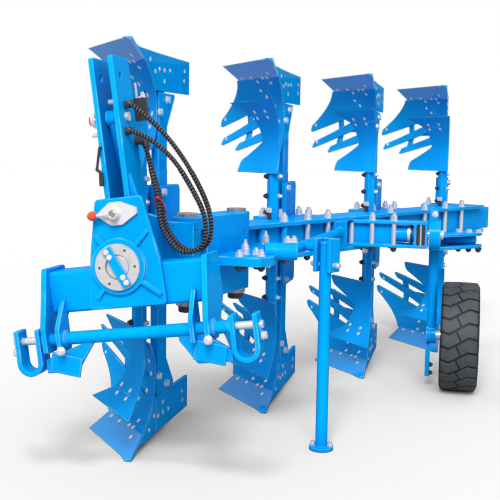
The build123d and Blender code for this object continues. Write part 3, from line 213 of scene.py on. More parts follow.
# Latch knob. A ball moulded in orange-red plastic,
# glossy, screwed on the lever's end.
KNOB_RED, KNOB_ORANGE = (0.72, 0.04, 0.005, 1), (0.82, 0.07, 0.008, 1)
knob_plastic, flow, place = new_finish("knob_plastic")
mottle = cloud(flow, place, 60.0, 2.0)
apply_coat(knob_plastic, {"Base Color": blend(flow, mottle, KNOB_RED, KNOB_ORANGE),
                          "Roughness": 0.16 + mottle * 0.1, "Coat Weight": 0.5 + mottle * 0.1})
dress(nodes_of("knob"), knob_plastic)

# Tower handle. A bent round steel bar with a grip sleeve, painted black, hooked in the tower plate.
# The same paint covers the hose fittings and the black bolts, nuts and blocks further on.
BLACK, BLACK_WORN = (0.012, 0.012, 0.013, 1), (0.035, 0.035, 0.036, 1)
black_coat, flow, place = new_finish("black_coat")
wear = cloud(flow, place, 55.0, 4.0)
apply_coat(black_coat, {"Base Color": blend(flow, wear, BLACK, BLACK_WORN), "Roughness": 0.35 + wear * 0.25})
dress(nodes_of("black_paint"), black_coat)

# Plough bolts. Countersunk heads of zinc-coated steel that sit a little proud of the
# shares, points, shins, slats, landsides and skimmers on all eight bodies.
AXIS_HEIGHT = 875.0
TURNOVER_ROW = -300.0
FURROW = Vector((400.0, 850.0, 0.0))
SEAT_START = 0.06
FACING = 0.9
turnover = Vector(next(joint["pos_m"] for joint in frame["joints"] if joint["name"] == "turnover"))
drawn_from = turnover - Vector((0.0, TURNOVER_ROW, AXIS_HEIGHT)) / 1000
patterns = []


def at(x, y, z):
    """A place of the plough's drawing, in millimetres, in the frame's metres."""
    return Vector((x, y, z)) / 1000 + drawn_from


def seat(node, place, out):
    """Where a fastener lands on a CAD node when it is pushed on against a direction."""
    out = Vector(out).normalized()
    hit, landing, facing, _ = frame["nodes"][node].ray_cast(place + out * SEAT_START, -out)
    if not hit:
        raise ValueError(f"nothing of {node} under {tuple(round(v, 4) for v in place)}")
    return landing, facing


def deselect():
    """Leaves nothing selected."""
    if bpy.context.object and bpy.context.object.mode == "EDIT":
        bpy.ops.object.mode_set(mode="OBJECT")
    bpy.ops.object.select_all(action="DESELECT")


def pick(test):
    """Selects the faces in edit mode that a test of centre and normal lets through."""
    shape = bmesh.from_edit_mesh(bpy.context.object.data)
    for face in shape.faces:
        face.select_set(bool(test(face.calc_center_median(), face.normal)))
    shape.select_flush_mode()
    bmesh.update_edit_mesh(bpy.context.object.data)


def edit_faces():
    """Goes to edit mode with faces to select."""
    bpy.ops.object.mode_set(mode="EDIT")
    bpy.context.tool_settings.mesh_select_mode = (False, False, True)


def chamfer_picked(width, rise):
    """Insets the picked faces and moves them up."""
    bpy.ops.mesh.inset(thickness=width)
    bpy.ops.transform.translate(value=(0, 0, rise))


def sink_picked(rim, depth):
    """Sinks the picked faces inside a rim."""
    bpy.ops.mesh.inset(thickness=rim)
    bpy.ops.mesh.extrude_region_move(TRANSFORM_OT_translate={"value": (0, 0, -depth)})


def copies(name, pattern, seats, finish, body):
    """One piece of a pattern's copies, each stood on its seat."""
    stood = []
    for landing, facing in seats:
        copy = pattern.copy()
        copy.data = pattern.data.copy()
        bpy.context.collection.objects.link(copy)
        turn = facing.to_track_quat("Z", "Y").to_matrix().to_4x4()
        copy.data.transform(Matrix.Translation(landing) @ turn)
        stood.append(copy)
    deselect()
    for copy in stood:
        copy.select_set(True)
    piece = stood[0]
    bpy.context.view_layer.objects.active = piece
    bpy.ops.object.join()
    piece.name = name
    piece.data.name = name
    piece.data.materials.clear()
    piece.data.materials.append(finish)
    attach(piece, body)


BOLT_RADIUS, BOLT_DEPTH, BOLT_SINK = 0.0105, 0.008, -0.0022
BOLT_EDGE, BOLT_CROWN = 0.003, 0.0012
SOCKET_RIM, SOCKET_DEPTH = 0.003, 0.0016
deselect()
bpy.ops.mesh.primitive_cylinder_add(vertices=10, radius=BOLT_RADIUS, depth=BOLT_DEPTH)
plough_bolt = bpy.context.object
edit_faces()
pick(lambda centre, normal: normal.z > FACING)
chamfer_picked(BOLT_EDGE, BOLT_CROWN)
sink_picked(SOCKET_RIM, SOCKET_DEPTH)
pick(lambda centre, normal: normal.z < -FACING)
bpy.ops.mesh.delete(type="FACE")
bpy.ops.object.mode_set(mode="OBJECT")
plough_bolt.data.transform(Matrix.Translation((0, 0, BOLT_SINK)))
patterns.append(plough_bolt)

SOIL_LOW = (-0.43, -0.38, 0.82)
SOIL_MIDDLE = (-0.6, -0.52, 0.61)
SOIL_HIGH = (-0.75, -0.65, 0.1)
LAND = Vector((1, 0, 0))
BODY_BOLTS = (
    # Node, place on the first lower body, and the line that the bolt faces along
    ("shares", -348, 405, 65, SOIL_LOW), ("shares", -280, 333, 66, SOIL_LOW),
    ("shins", -205, 264, 74, SOIL_LOW), ("shins", -174, 232, 74, SOIL_LOW),
    ("shins", -158, 258, 98, SOIL_MIDDLE), ("chisel_points", -155, 152, 57, SOIL_LOW),
    ("mouldboard_slats", -245, 337, 86, SOIL_LOW), ("mouldboard_slats", -240, 393, 128, SOIL_MIDDLE),
    ("mouldboard_slats", -206, 386, 160, SOIL_MIDDLE), ("mouldboard_slats", -545, 822, 264, SOIL_HIGH),
    ("mouldboard_slats", -524, 789, 374, SOIL_HIGH), ("shins", -144, 357, 348, SOIL_HIGH),
    ("shins", -133, 353, 291, SOIL_HIGH), ("shins", -157, 361, 209, SOIL_HIGH),
    ("skimmer_boards", -207, 177, 281, SOIL_MIDDLE), ("skimmer_boards", -137, 93, 279, SOIL_MIDDLE),
    ("skimmer_shares", -216, 144, 251, SOIL_MIDDLE), ("skimmer_shares", -145, 62, 251, SOIL_MIDDLE),
    ("landsides", -100, 229, 68, LAND), ("landsides", -100, 296, 113, LAND),
    ("landsides", -100, 352, 98, LAND), ("landsides", -100, 420, 146, LAND),
    ("landsides", -100, 420, 98, LAND), ("landsides", -100, 498, 92, LAND),
    ("landsides", -100, 714, 122, LAND), ("landsides", -100, 720, 75, LAND),
)
FURROWS = 4
BODIES = [(furrow, side) for furrow in range(FURROWS) for side in (1, -1)]


def on_body(x, y, z, out, furrow, side):
    """A place of the first lower body and its outward line, on any of the eight bodies."""
    place = at(x, y, AXIS_HEIGHT + side * (z - AXIS_HEIGHT)) + FURROW * furrow / 1000
    return place, Vector((out[0], out[1], side * out[2]))


def body_seats(rows):
    """Seats of a table's rows of node, place and outward line, on all eight bodies."""
    return [seat(node, *on_body(x, y, z, out, *body)) for node, x, y, z, out in rows for body in BODIES]


copies("plough_bolts", plough_bolt, body_seats(BODY_BOLTS), zinc, "frame")

# Beam bolts. Long zinc bolts through both clamp plates and their spacers: above, a washer,
# two hexagon nuts and the thread's end; below, blackened nuts.
CHAMFER_RISE = 0.6
SAME_HEIGHT = 1e-5


def stack(*parts):
    """Turned and hexagonal parts on each other: sides, radius, height and chamfer of each."""
    deselect()
    height = 0.0
    for sides, radius, tall, chamfer in parts:
        middle = (0, 0, height + tall / 2)
        bpy.ops.mesh.primitive_cylinder_add(vertices=sides, radius=radius, depth=tall, location=middle)
        if bpy.context.object.mode == "OBJECT":
            bpy.ops.object.transform_apply(location=True)
            edit_faces()
        height += tall
        pick(lambda centre, normal: normal.z > FACING and abs(centre.z - height) < SAME_HEIGHT)
        chamfer_picked(chamfer, chamfer * CHAMFER_RISE)
    bpy.ops.object.mode_set(mode="OBJECT")
    patterns.append(bpy.context.object)
    return bpy.context.object


double_nut = stack((12, 0.021, 0.004, 0.0008), (6, 0.0175, 0.013, 0.0022), (6, 0.0175, 0.012, 0.0022),
                   (8, 0.009, 0.014, 0.0015))
black_nut = stack((12, 0.020, 0.003, 0.0006), (6, 0.0165, 0.013, 0.0025), (8, 0.009, 0.007, 0.0012))
beam_along = FURROW.normalized()
beam_across = Vector((beam_along.y, -beam_along.x, 0))
FIRST_LEG = Vector((-117.5, 405, 0))
LEG_SPACING = FURROW.length
CLAMP_FACE = 90.0
CLAMP_END = 2860.0
FRONT_ROW = 263.0
FRONT_PLACES = (420, 600, 800, 985, 1640, 2060, 2340, 2580)
TAB_PLACES = ((-112, -42), (-112, 72), (145, 8), (145, 72))
UP = Vector((0, 0, 1))


def on_beam(along, offset, height):
    """A place along the beam from the first leg, beside its middle and above its axis."""
    spot = FIRST_LEG + beam_along * along + beam_across * offset
    return at(spot.x, spot.y, AXIS_HEIGHT + height)


rows = [(along, FRONT_ROW) for along in FRONT_PLACES[1:]]
rows += [(leg * LEG_SPACING + ahead, offset) for leg in range(FURROWS) for ahead, offset in TAB_PLACES
         if leg * LEG_SPACING + ahead < CLAMP_END]
for name, pattern, side, finish, slot in (("beam_bolts", double_nut, 1, zinc, "zinc"),
                                          ("beam_nuts", black_nut, -1, black_coat, "black_paint")):
    seats = [seat("beam_clamp_plates", on_beam(*row, side * CLAMP_FACE), UP * side) for row in rows]
    copies(name, pattern, seats, finish, "frame")

# Spacer sleeves. Painted steel tubes pushed over the first two clamp spacers,
# so that they stand between the clamp plates.
SLEEVE_LENGTH = 0.140
SLEEVE_ROW = FRONT_ROW - 2
sleeve = stack((20, 0.0165, SLEEVE_LENGTH, 0.001))
seats = [(on_beam(along, SLEEVE_ROW, -1000 * SLEEVE_LENGTH / 2), UP) for along in FRONT_PLACES[:2]]
copies("spacer_sleeves", sleeve, seats, enamel, "frame")

# Leg bolts. Zinc hexagon heads on washers, one near the end of each leg bracket
# and two at the foot of each leg, where the frog is bolted on.
bolt_head = stack((12, 0.0195, 0.003, 0.0006), (6, 0.0165, 0.012, 0.003))
LEG_BOLTS = (("legs", -100, 350, 285, LAND), ("legs", -100, 458, 226, LAND),
             ("leg_brackets", -80, 350, 635, LAND))
copies("leg_bolts", bolt_head, body_seats(LEG_BOLTS), zinc, "frame")

# Stalk set bolts. Blackened set bolts with square-cut ends in the left face of each stalk,
# and the zinc heads of their counter bolts in its right face.
set_bolt = stack((6, 0.0125, 0.010, 0.0018), (8, 0.008, 0.009, 0.0012))
STALK_LEFT, STALK_RIGHT, STALK_ROW = -139, -95, 118
STALK_BOLTS = (570, 668, 750)
rows = [("skimmer_stalks", STALK_LEFT, STALK_ROW, height, -LAND) for height in STALK_BOLTS]
copies("stalk_bolts", set_bolt, body_seats(rows), black_coat, "frame")
rows = [("skimmer_stalks", STALK_RIGHT, STALK_ROW, height, LAND) for height in STALK_BOLTS[:2]]
copies("stalk_heads", set_bolt, body_seats(rows), zinc, "frame")


# Stalk clamps. A zinc bar across the front of each stalk where it enters the clamp plates,
# with a blackened wedge driven in next to it, nearer the beam.
def bar(width, height, thick, chamfer):
    """A flat bar that lies on its back, its front edges chamfered."""
    deselect()
    bpy.ops.mesh.primitive_cube_add(size=1)
    made = bpy.context.object
    made.data.transform(Matrix.Translation((0, 0, thick / 2)) @ Matrix.Diagonal((width, height, thick, 1)))
    edit_faces()
    pick(lambda centre, normal: normal.z > FACING)
    chamfer_picked(chamfer, chamfer * CHAMFER_RISE)
    bpy.ops.object.mode_set(mode="OBJECT")
    patterns.append(made)
    return made


STALK_FRONT = (-0.75, -0.66, 0)
STALK_NOSE = (-120, 97)
clamp_bar = bar(0.036, 0.024, 0.012, 0.003)
clamp_wedge = bar(0.028, 0.030, 0.007, 0.003)
for name, pattern, height, finish, slot in (("stalk_bars", clamp_bar, 738, zinc, "zinc"),
                                            ("stalk_wedges", clamp_wedge, 768, black_coat, "black_paint")):
    seats = body_seats([("skimmer_stalks", *STALK_NOSE, height, STALK_FRONT)])
    copies(name, pattern, seats, finish, "frame")

# Keeper bolts. Four flat round bolts with white heads,
# which hold the keeper bar across the shaft's collar.
KEEPER_BOLTS = (-0.066, -0.044, 0.044, 0.066)
FRONT = Vector((0, -1, 0))
keeper_low, keeper_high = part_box("shaft_keeper")
keeper_middle = (keeper_low + keeper_high) / 2
keeper_line = Vector((keeper_low.x - keeper_high.x, 0, keeper_high.z - keeper_low.z)).normalized()
keeper_bolt = stack((20, 0.0105, 0.004, 0.002))
seats = [seat("shaft_keeper", keeper_middle + keeper_line * reach, FRONT) for reach in KEEPER_BOLTS]
copies("keeper_bolts", keeper_bolt, seats, white_coat, "frame")

# Collar screws. Blackened set screws in a ring of six, sunk in the collar's face
# round the shaft, apart from the places that the keeper bar covers.
COLLAR_ROW, COLLAR_TURN, COLLAR_SCREWS = 0.068, 5, 6
KEEPER_CLEAR = 0.03
collar_screw = stack((10, 0.0048, 0.0006, 0.001))
keeper_across = Vector((keeper_line.z, 0, -keeper_line.x))
seats = []
for number in range(COLLAR_SCREWS):
    turn = math.radians(COLLAR_TURN + 360 / COLLAR_SCREWS * number)
    spot = turnover + Vector((math.cos(turn), 0, math.sin(turn))) * COLLAR_ROW
    if abs((spot - keeper_middle).dot(keeper_across)) > KEEPER_CLEAR:
        seats.append(seat("shaft_collar", Vector((spot.x, keeper_low.y, spot.z)), FRONT))
copies("collar_screws", collar_screw, seats, black_coat, "frame")

# Shaft plug. A turned steel plug pressed in the mouth of the hollow shaft, stepped at its rim,
# so that a narrow groove runs round it behind the collar.
PLUG_BACK = 0.025
shaft_plug = stack((40, 0.0459, 0.012, 0.0005), (40, 0.0425, 0.008, 0.002))
mouth = Vector((turnover.x, keeper_high.y + PLUG_BACK, turnover.z))
copies("shaft_plug", shaft_plug, [(mouth, FRONT)], machined, "frame")

# Adjuster stacks. Two tall zinc bolts on the adjuster plate, each a washer, a hexagon, a lock nut
# and a grease nipple; short bolts on the plate and the boss; blackened nuts under the plate.
tall_stack = stack((16, 0.020, 0.004, 0.0008), (6, 0.0175, 0.020, 0.0025), (6, 0.016, 0.014, 0.0022),
                   (10, 0.009, 0.010, 0.002), (8, 0.006, 0.012, 0.002))
short_stack = stack((14, 0.017, 0.004, 0.0008), (6, 0.0145, 0.013, 0.002), (8, 0.008, 0.010, 0.002))
PLATE_TOP, PLATE_FOOT, BOSS_TOP = 881.0, 845.0, 927.0
TALL_PLACES = ((352, 118), (345, 552))
SHORT_PLACES = ((350, 22), (397, 122), (432, 60))
BOSS_PLACES = ((512, 197), (538, 204))
seats = [seat("adjuster_plate", at(x, y, PLATE_TOP), UP) for x, y in TALL_PLACES]
copies("adjuster_stacks", tall_stack, seats, zinc, "frame")
seats = [seat("adjuster_plate", at(x, y, PLATE_TOP), UP) for x, y in SHORT_PLACES]
seats += [(seat("adjuster_boss", at(x, y, BOSS_TOP), UP)[0], UP) for x, y in BOSS_PLACES]
copies("adjuster_bolts", short_stack, seats, zinc, "frame")
seats = [seat("adjuster_plate", at(x, y, PLATE_FOOT), -UP) for x, y in TALL_PLACES[:1] + SHORT_PLACES]
copies("adjuster_nuts", black_nut, seats, black_coat, "frame")

# Pivot pins. Heavy turned steel pins, oiled dark;
# a blackened nut closes each one below.
OILED_LIGHT, OILED_DARK = (0.62, 0.60, 0.57, 1), (0.20, 0.19, 0.18, 1)
PIN_PLACES = ((154.0, -50.0), (254.6, 350.0))
PIN_FOOT, NUT_OVERLAP = 680.0, 0.004
dark_steel, flow, place = new_finish("dark_steel")
oil = cloud(flow, place, 30.0, 4.0)
apply_coat(dark_steel, {"Base Color": blend(flow, oil, OILED_LIGHT, OILED_DARK), "Metallic": 0.9,
                        "Roughness": 0.25 + oil * 0.2})
dress(["pivot_pins"], dark_steel)
pin_nut = stack((8, 0.034, 0.020, 0.006))
seats = [(seat("pivot_pins", at(x, y, PIN_FOOT), -UP)[0] + UP * NUT_OVERLAP, -UP) for x, y in PIN_PLACES]
copies("pin_nuts", pin_nut, seats, black_coat, "frame")

# Stand bolt nuts. A zinc hexagon with the thread's end
# at both ends of the bolt that the stand folds on.
STAND_BOLT = Vector((646.0, 383.0, 820.0))
STAND_BOLT_HALF = 58.0
seats = []
for end in (1, -1):
    spot = STAND_BOLT + beam_across * STAND_BOLT_HALF * end
    seats.append(seat("stand_pivot_bolt", at(*spot), beam_across * end))
copies("stand_nuts", set_bolt, seats, zinc, "frame")

# Foot bolts. Two zinc hexagon bolts, one on each side of the leg,
# in the top of the stand's round foot.
FOOT_HEIGHT, FOOT_BOLT_REACH = 0.03, 0.038
leg_low, leg_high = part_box("stand_leg")
leg_middle = (leg_low + leg_high) / 2
foot = Vector((leg_middle.x, leg_middle.y, leg_low.z + FOOT_HEIGHT))
seats = [seat("stand_leg", foot + LAND * reach, UP) for reach in (-FOOT_BOLT_REACH, FOOT_BOLT_REACH)]
copies("foot_bolts", set_bolt, seats, zinc, "stand")

# Link bolts. A heavy zinc hexagon bolt on a washer, screwed into the front edge
# of one bracket plate on each side of the drawbar.
LEAN = math.radians(7.5)
LEANED_RIGHT = Vector((math.cos(LEAN), 0, math.sin(LEAN)))
LINK_FRONT = -462.0
LINK_BOLTS = ((-234, -282), (326, -280))


def lean(x, y, z):
    """A place of the headstock, drawn upright about the turnover axis, as it stands parked."""
    across = x * math.cos(LEAN) - z * math.sin(LEAN)
    height = AXIS_HEIGHT + x * math.sin(LEAN) + z * math.cos(LEAN)
    return at(across, y, height)


link_bolt = stack((16, 0.0165, 0.004, 0.0008), (6, 0.0135, 0.012, 0.003))
seats = [(seat("link_brackets", lean(x, LINK_FRONT, z), FRONT)[0], FRONT) for x, z in LINK_BOLTS]
copies("link_bolts", link_bolt, seats, zinc, "headstock")

# Clevis keepers. A painted strip on the outer arm of each clevis holds the hitch pin,
# with a zinc hexagon bolt at its foot.
STRIP_THICK = 0.006
STRIP_HEIGHT, STRIP_BOLT_HEIGHT = -262, -284
CLEVIS_ARMS = ((523, LEANED_RIGHT), (-423, -LEANED_RIGHT))
pin_low, pin_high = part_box("hitch_pins")
pin_row = (pin_low.y + pin_high.y) / 2
keeper_strip = bar(0.024, 0.070, STRIP_THICK, 0.002)
strips, bolts = [], []
for x, out in CLEVIS_ARMS:
    for height, seats in ((STRIP_HEIGHT, strips), (STRIP_BOLT_HEIGHT, bolts)):
        spot = lean(x, 0, height)
        seats.append((seat("link_clevises", Vector((spot.x, pin_row, spot.z)), out)[0], out))
copies("clevis_strips", keeper_strip, strips, enamel, "headstock")
bolts = [(spot + out * STRIP_THICK, out) for spot, out in bolts]
copies("clevis_bolts", link_bolt, bolts, zinc, "headstock")

# Gusset pads. Flat painted plates welded on the front of both lower gussets,
# under the drawbar, with their edges ground off.
GUSSET_FRONT = -426.0
GUSSET_PLACES = ((-190, 507), (360, 588))
gusset_pad = bar(0.118, 0.072, 0.006, 0.002)
gusset_pad.data.transform(Matrix.Rotation(-LEAN, 4, "Z"))
seats = [seat("bracket_gussets", at(x, GUSSET_FRONT, z), FRONT) for x, z in GUSSET_PLACES]
copies("gusset_pads", gusset_pad, seats, enamel, "headstock")

# Latch ring. A turned zinc ring round the lever's shaft on the latch plate, the shaft's round
# end with a sunk middle in front of it, and an oiled screw in that.
RING_RADIUS, RING_THICK, RING_EDGE, RING_RISE = 0.0215, 0.008, 0.003, 0.0015
END_RADIUS, END_THICK, END_OUT, END_RIM, END_SUNK = 0.018, 0.006, 0.0285, 0.005, 0.004
SCREW_OUT = 0.0275
LATCH_PLACE = (15, 0, 193)
latch = lean(*LATCH_PLACE)
latch.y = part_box("latch_plate")[0].y
deselect()
bpy.ops.mesh.primitive_cylinder_add(vertices=28, radius=RING_RADIUS, depth=RING_THICK,
                                    location=(0, 0, RING_THICK / 2))
bpy.ops.object.transform_apply(location=True)
latch_ring = bpy.context.object
edit_faces()
bpy.ops.mesh.primitive_cylinder_add(vertices=28, radius=END_RADIUS, depth=END_THICK, location=(0, 0, END_OUT))
pick(lambda centre, normal: normal.z > FACING and centre.z > END_OUT)
sink_picked(END_RIM, END_SUNK)
pick(lambda centre, normal: normal.z > FACING and centre.z < END_OUT / 2)
chamfer_picked(RING_EDGE, RING_RISE)
bpy.ops.object.mode_set(mode="OBJECT")
patterns.append(latch_ring)
copies("latch_ring", latch_ring, [(latch, FRONT)], zinc, "headstock")
latch_screw = stack((12, 0.0125, 0.0012, 0.003))
copies("latch_screw", latch_screw, [(latch + FRONT * SCREW_OUT, FRONT)], dark_steel, "headstock")

# Cylinder pin's cup. Zinc cup with an orange-red cap on the pin's left end, and a short
# stub of pipe below it, both on the left tower plate.
PIN_RISE = 0.017
CUP_IN, CAP_OUT = 0.006, 0.011
STUB_PLACE = (-28, -300, 487)
pin_low, pin_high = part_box("cylinder_pin")
pin_end = Vector((pin_low.x, (pin_low.y + pin_high.y) / 2, pin_low.z + PIN_RISE))
cup = stack((24, 0.030, 0.010, 0.003), (24, 0.024, 0.008, 0.003))
copies("pin_cup", cup, [(pin_end + LEANED_RIGHT * CUP_IN, -LEANED_RIGHT)], zinc, "headstock")
cap = stack((20, 0.0175, 0.010, 0.004))
copies("pin_cap", cap, [(pin_end - LEANED_RIGHT * CAP_OUT, -LEANED_RIGHT)], knob_plastic, "headstock")
pipe_stub = stack((6, 0.011, 0.008, 0.001), (12, 0.0075, 0.040, 0.002))
copies("pipe_stub", pipe_stub, [(lean(*STUB_PLACE), -LEANED_RIGHT)], zinc, "headstock")

# Tower valve. A black block with a zinc nozzle and a thin zinc blade,
# bolted to the rear edge of the right tower plate.
LEANED_UP = Vector((-math.sin(LEAN), 0, math.cos(LEAN)))
VALVE_PLACE = (58, -172, 571)
NOZZLE_PLACE = (93, -172, 613)
BLADE_PLACE = (70, -182, 640)
valve = bar(0.036, 0.086, 0.044, 0.004)
copies("valve_block", valve, [(lean(*VALVE_PLACE), LEANED_RIGHT)], black_coat, "headstock")
nozzle = stack((12, 0.010, 0.008, 0.001), (6, 0.009, 0.008, 0.002), (10, 0.006, 0.006, 0.002))
copies("valve_nozzle", nozzle, [(lean(*NOZZLE_PLACE), LEANED_UP)], zinc, "headstock")
blade = bar(0.012, 0.064, 0.004, 0.001)
copies("valve_blade", blade, [(lean(*BLADE_PLACE), LEANED_RIGHT)], zinc, "headstock")

# Hose nipple. The zinc end of the upper hose's fitting, a hexagon and a short pipe,
# which comes through inside the right tower plate.
NIPPLE_PLACE = (48, -300, 600)
nipple = stack((6, 0.013, 0.010, 0.002), (14, 0.010, 0.034, 0.003))
copies("hose_nipple", nipple, [(lean(*NIPPLE_PLACE), -LEANED_RIGHT)], zinc, "headstock")

# Outrigger nuts. Zinc double nuts on top of the outrigger over its spacers,
# blackened nuts below.
OUTRIGGER_ROW, OUTRIGGER_TOP, OUTRIGGER_FOOT = 1398.0, 945.0, 805.0
OUTRIGGER_PLACES = (750, 866)
seats = [seat("outrigger", at(x, OUTRIGGER_ROW, OUTRIGGER_TOP), UP) for x in OUTRIGGER_PLACES]
copies("outrigger_bolts", double_nut, seats, zinc, "frame")
seats = [seat("outrigger", at(x, OUTRIGGER_ROW, OUTRIGGER_FOOT), -UP) for x in OUTRIGGER_PLACES]
copies("outrigger_nuts", black_nut, seats, black_coat, "frame")

# Stop blocks. Two black blocks stand in the outrigger's open end in front of the arm's pin,
# with a zinc bolt between them from top to bottom.
BLOCK_PLACES, BLOCK_BACK = (995, 1021), 1412
STOP_BOLT_FOOT = (1008, 1392, 820)
stop_block = bar(0.018, 0.108, 0.024, 0.003)
seats = [(at(x, BLOCK_BACK, AXIS_HEIGHT), FRONT) for x in BLOCK_PLACES]
copies("stop_blocks", stop_block, seats, black_coat, "frame")
stop_bolt = stack((12, 0.006, 0.110, 0.001))
copies("stop_bolt", stop_bolt, [(at(*STOP_BOLT_FOOT), UP)], zinc, "frame")

# Neck rings. A zinc ring and a black seal pushed on the outrigger's tube,
# where the arm's pin goes in.
ARM_LINE = 1440.0
RING_PLACE, SEAL_PLACE = (938, ARM_LINE, AXIS_HEIGHT), (954, ARM_LINE, AXIS_HEIGHT)
neck_ring = stack((32, 0.046, 0.014, 0.002))
copies("neck_ring", neck_ring, [(at(*RING_PLACE), LAND)], zinc, "frame")
neck_seal = stack((32, 0.050, 0.008, 0.003))
copies("neck_seal", neck_seal, [(at(*SEAL_PLACE), LAND)], black_coat, "frame")

# Arm lug and bolts. A welded lug on the arm's hub with a round zinc bolt in its face, and
# bolts with blackened nuts through the ends of the arm's two plates.
LUG_PLACE, LUG_SUNK = (1073, ARM_LINE, 955), 0.004
LUG_BOLT = Vector((0.006, -0.020, 0.030))
ARM_ROW, ARM_TOP, ARM_FOOT = 1655.0, 877.0, 800.0
ARM_PLACES = (1205, 1260, 1312)
arm_lug = bar(0.042, 0.040, 0.056, 0.006)
lug_seat = seat("wheel_arm", at(*LUG_PLACE), UP)[0]
copies("arm_lug", arm_lug, [(lug_seat - UP * LUG_SUNK, UP)], enamel, "wheel_arm")
lug_bolt = stack((20, 0.0165, 0.006, 0.002), (6, 0.011, 0.006, 0.002))
copies("arm_lug_bolt", lug_bolt, [(lug_seat + LUG_BOLT, FRONT)], zinc, "wheel_arm")
seats = [seat("wheel_arm", at(x, ARM_ROW, ARM_TOP), UP) for x in ARM_PLACES]
copies("arm_bolts", bolt_head, seats, zinc, "wheel_arm")
seats = [seat("wheel_arm", at(x, ARM_ROW, ARM_FOOT), -UP) for x in ARM_PLACES]
copies("arm_nuts", black_nut, seats, black_coat, "wheel_arm")

# Arm strip. A painted flat strip that hangs from the arm's foot,
# with two blackened clip pins in its edge.
STRIP_PLACE = (1060, 1619, 164)
CLIP_X, CLIP_ROW, CLIP_HEIGHTS = 1070, 1613, (84, 130)
arm_strip = bar(0.022, 0.200, 0.012, 0.002)
copies("arm_strip", arm_strip, [(at(*STRIP_PLACE), FRONT)], enamel, "wheel_arm")
seats = [(at(CLIP_X, CLIP_ROW, height), LAND) for height in CLIP_HEIGHTS]
copies("strip_pins", set_bolt, seats, black_coat, "wheel_arm")

# Wheel nuts and hub cap. Six zinc nuts on washers on the rim's disc,
# and a pressed zinc cap on its hub.
AXLE_ROW, AXLE_HEIGHT = 1613.0, 300.0
RIM_FACE, HUB_FACE = 1260.0, 1300.0
WHEEL_NUTS, WHEEL_NUT_RING = 6, 100.0
seats = []
for number in range(WHEEL_NUTS):
    turn = math.tau * number / WHEEL_NUTS
    row = AXLE_ROW + WHEEL_NUT_RING * math.cos(turn)
    height = AXLE_HEIGHT + WHEEL_NUT_RING * math.sin(turn)
    seats.append(seat("wheel_rim", at(RIM_FACE, row, height), LAND))
copies("wheel_nuts", bolt_head, seats, zinc, "wheel")
hub_cap = stack((24, 0.036, 0.006, 0.005), (24, 0.028, 0.005, 0.006))
seats = [seat("wheel_rim", at(HUB_FACE, AXLE_ROW, AXLE_HEIGHT), LAND)]
copies("hub_cap", hub_cap, seats, zinc, "wheel")

# Hydraulic hoses. Black rubber hose from the tower's black fittings down in a loop and up to
# the cylinder, wound all along with a spiral guard of black plastic.
HOSE_DIA = 0.017
GUARD_PITCH, GUARD_RADIUS, GUARD_STEPS = 0.0122, 0.0021, 8
HOSES = {
    "hose_a": ((88, -300, 582), (140, -292, 536), (222, -280, 430), (286, -266, 300), (330, -252, 160),
               (317, -242, 53), (261, -234, 15), (194, -228, 29), (136, -221, 122), (130, -214, 235),
               (106, -215, 366), (94, -218, 436)),
    "hose_b": ((88, -325, 484), (146, -323, 458), (232, -312, 366), (284, -302, 250), (320, -294, 150),
               (308, -286, 53), (252, -280, 15), (185, -273, 29), (131, -265, 122), (134, -256, 232),
               (113, -245, 362), (107, -240, 424)),
}
RUBBER_BLACK, RUBBER_WORN = (0.004, 0.004, 0.005, 1), (0.014, 0.014, 0.015, 1)
GUARD_DARK, GUARD_WORN = (0.05, 0.05, 0.05, 1), (0.17, 0.165, 0.16, 1)
hose_rubber, flow, place = new_finish("hose_rubber")
scuff = cloud(flow, place, 70.0, 4.0)
apply_coat(hose_rubber, {"Base Color": blend(flow, scuff, RUBBER_BLACK, RUBBER_WORN),
                         "Roughness": 0.45 + scuff * 0.25, "Specular IOR Level": 0.2})
guard_plastic, flow, place = new_finish("guard_plastic")
scuff = cloud(flow, place, 120.0, 4.0)
apply_coat(guard_plastic, {"Base Color": blend(flow, scuff, GUARD_DARK, GUARD_WORN),
                           "Roughness": 0.10 + scuff * 0.1})
dress(["hose_fittings"], black_coat)


def tube(name, points, radius, finish, resolution, roundness):
    """A round tube along a smooth line with the given control points."""
    line = bpy.data.curves.new(name, "CURVE")
    line.dimensions = "3D"
    spline = line.splines.new("NURBS")
    spline.points.add(len(points) - 1)
    for point, place in zip(spline.points, points):
        point.co = (*place, 1)
    spline.order_u = 3
    spline.use_endpoint_u = True
    spline.resolution_u = resolution
    line.bevel_depth = radius
    line.bevel_resolution = roundness
    line.materials.append(finish)
    piece = bpy.data.objects.new(name, line)
    bpy.context.collection.objects.link(piece)
    return piece


def line_points(piece):
    """Points along a tube's middle line, read from its own spline."""
    bevel = piece.data.bevel_depth
    piece.data.bevel_depth = 0
    bpy.context.view_layer.update()
    line = bpy.data.meshes.new_from_object(piece.evaluated_get(bpy.context.evaluated_depsgraph_get()))
    places = [vertex.co.copy() for vertex in line.vertices]
    bpy.data.meshes.remove(line)
    piece.data.bevel_depth = bevel
    return places


def winding(places, radius, pitch, steps):
    """Points of a helix that follows a line of points."""
    points = []
    side = (places[1] - places[0]).orthogonal()
    turn = 0.0
    for start, end in zip(places, places[1:]):
        ahead = (end - start).normalized()
        side = (side - ahead * side.dot(ahead)).normalized()
        over = ahead.cross(side)
        count = max(1, round((end - start).length / pitch * steps))
        for step in range(count):
            middle = start.lerp(end, step / count)
            points.append(middle + (side * math.cos(turn) + over * math.sin(turn)) * radius)
            turn += math.tau * (end - start).length / count / pitch
    return points


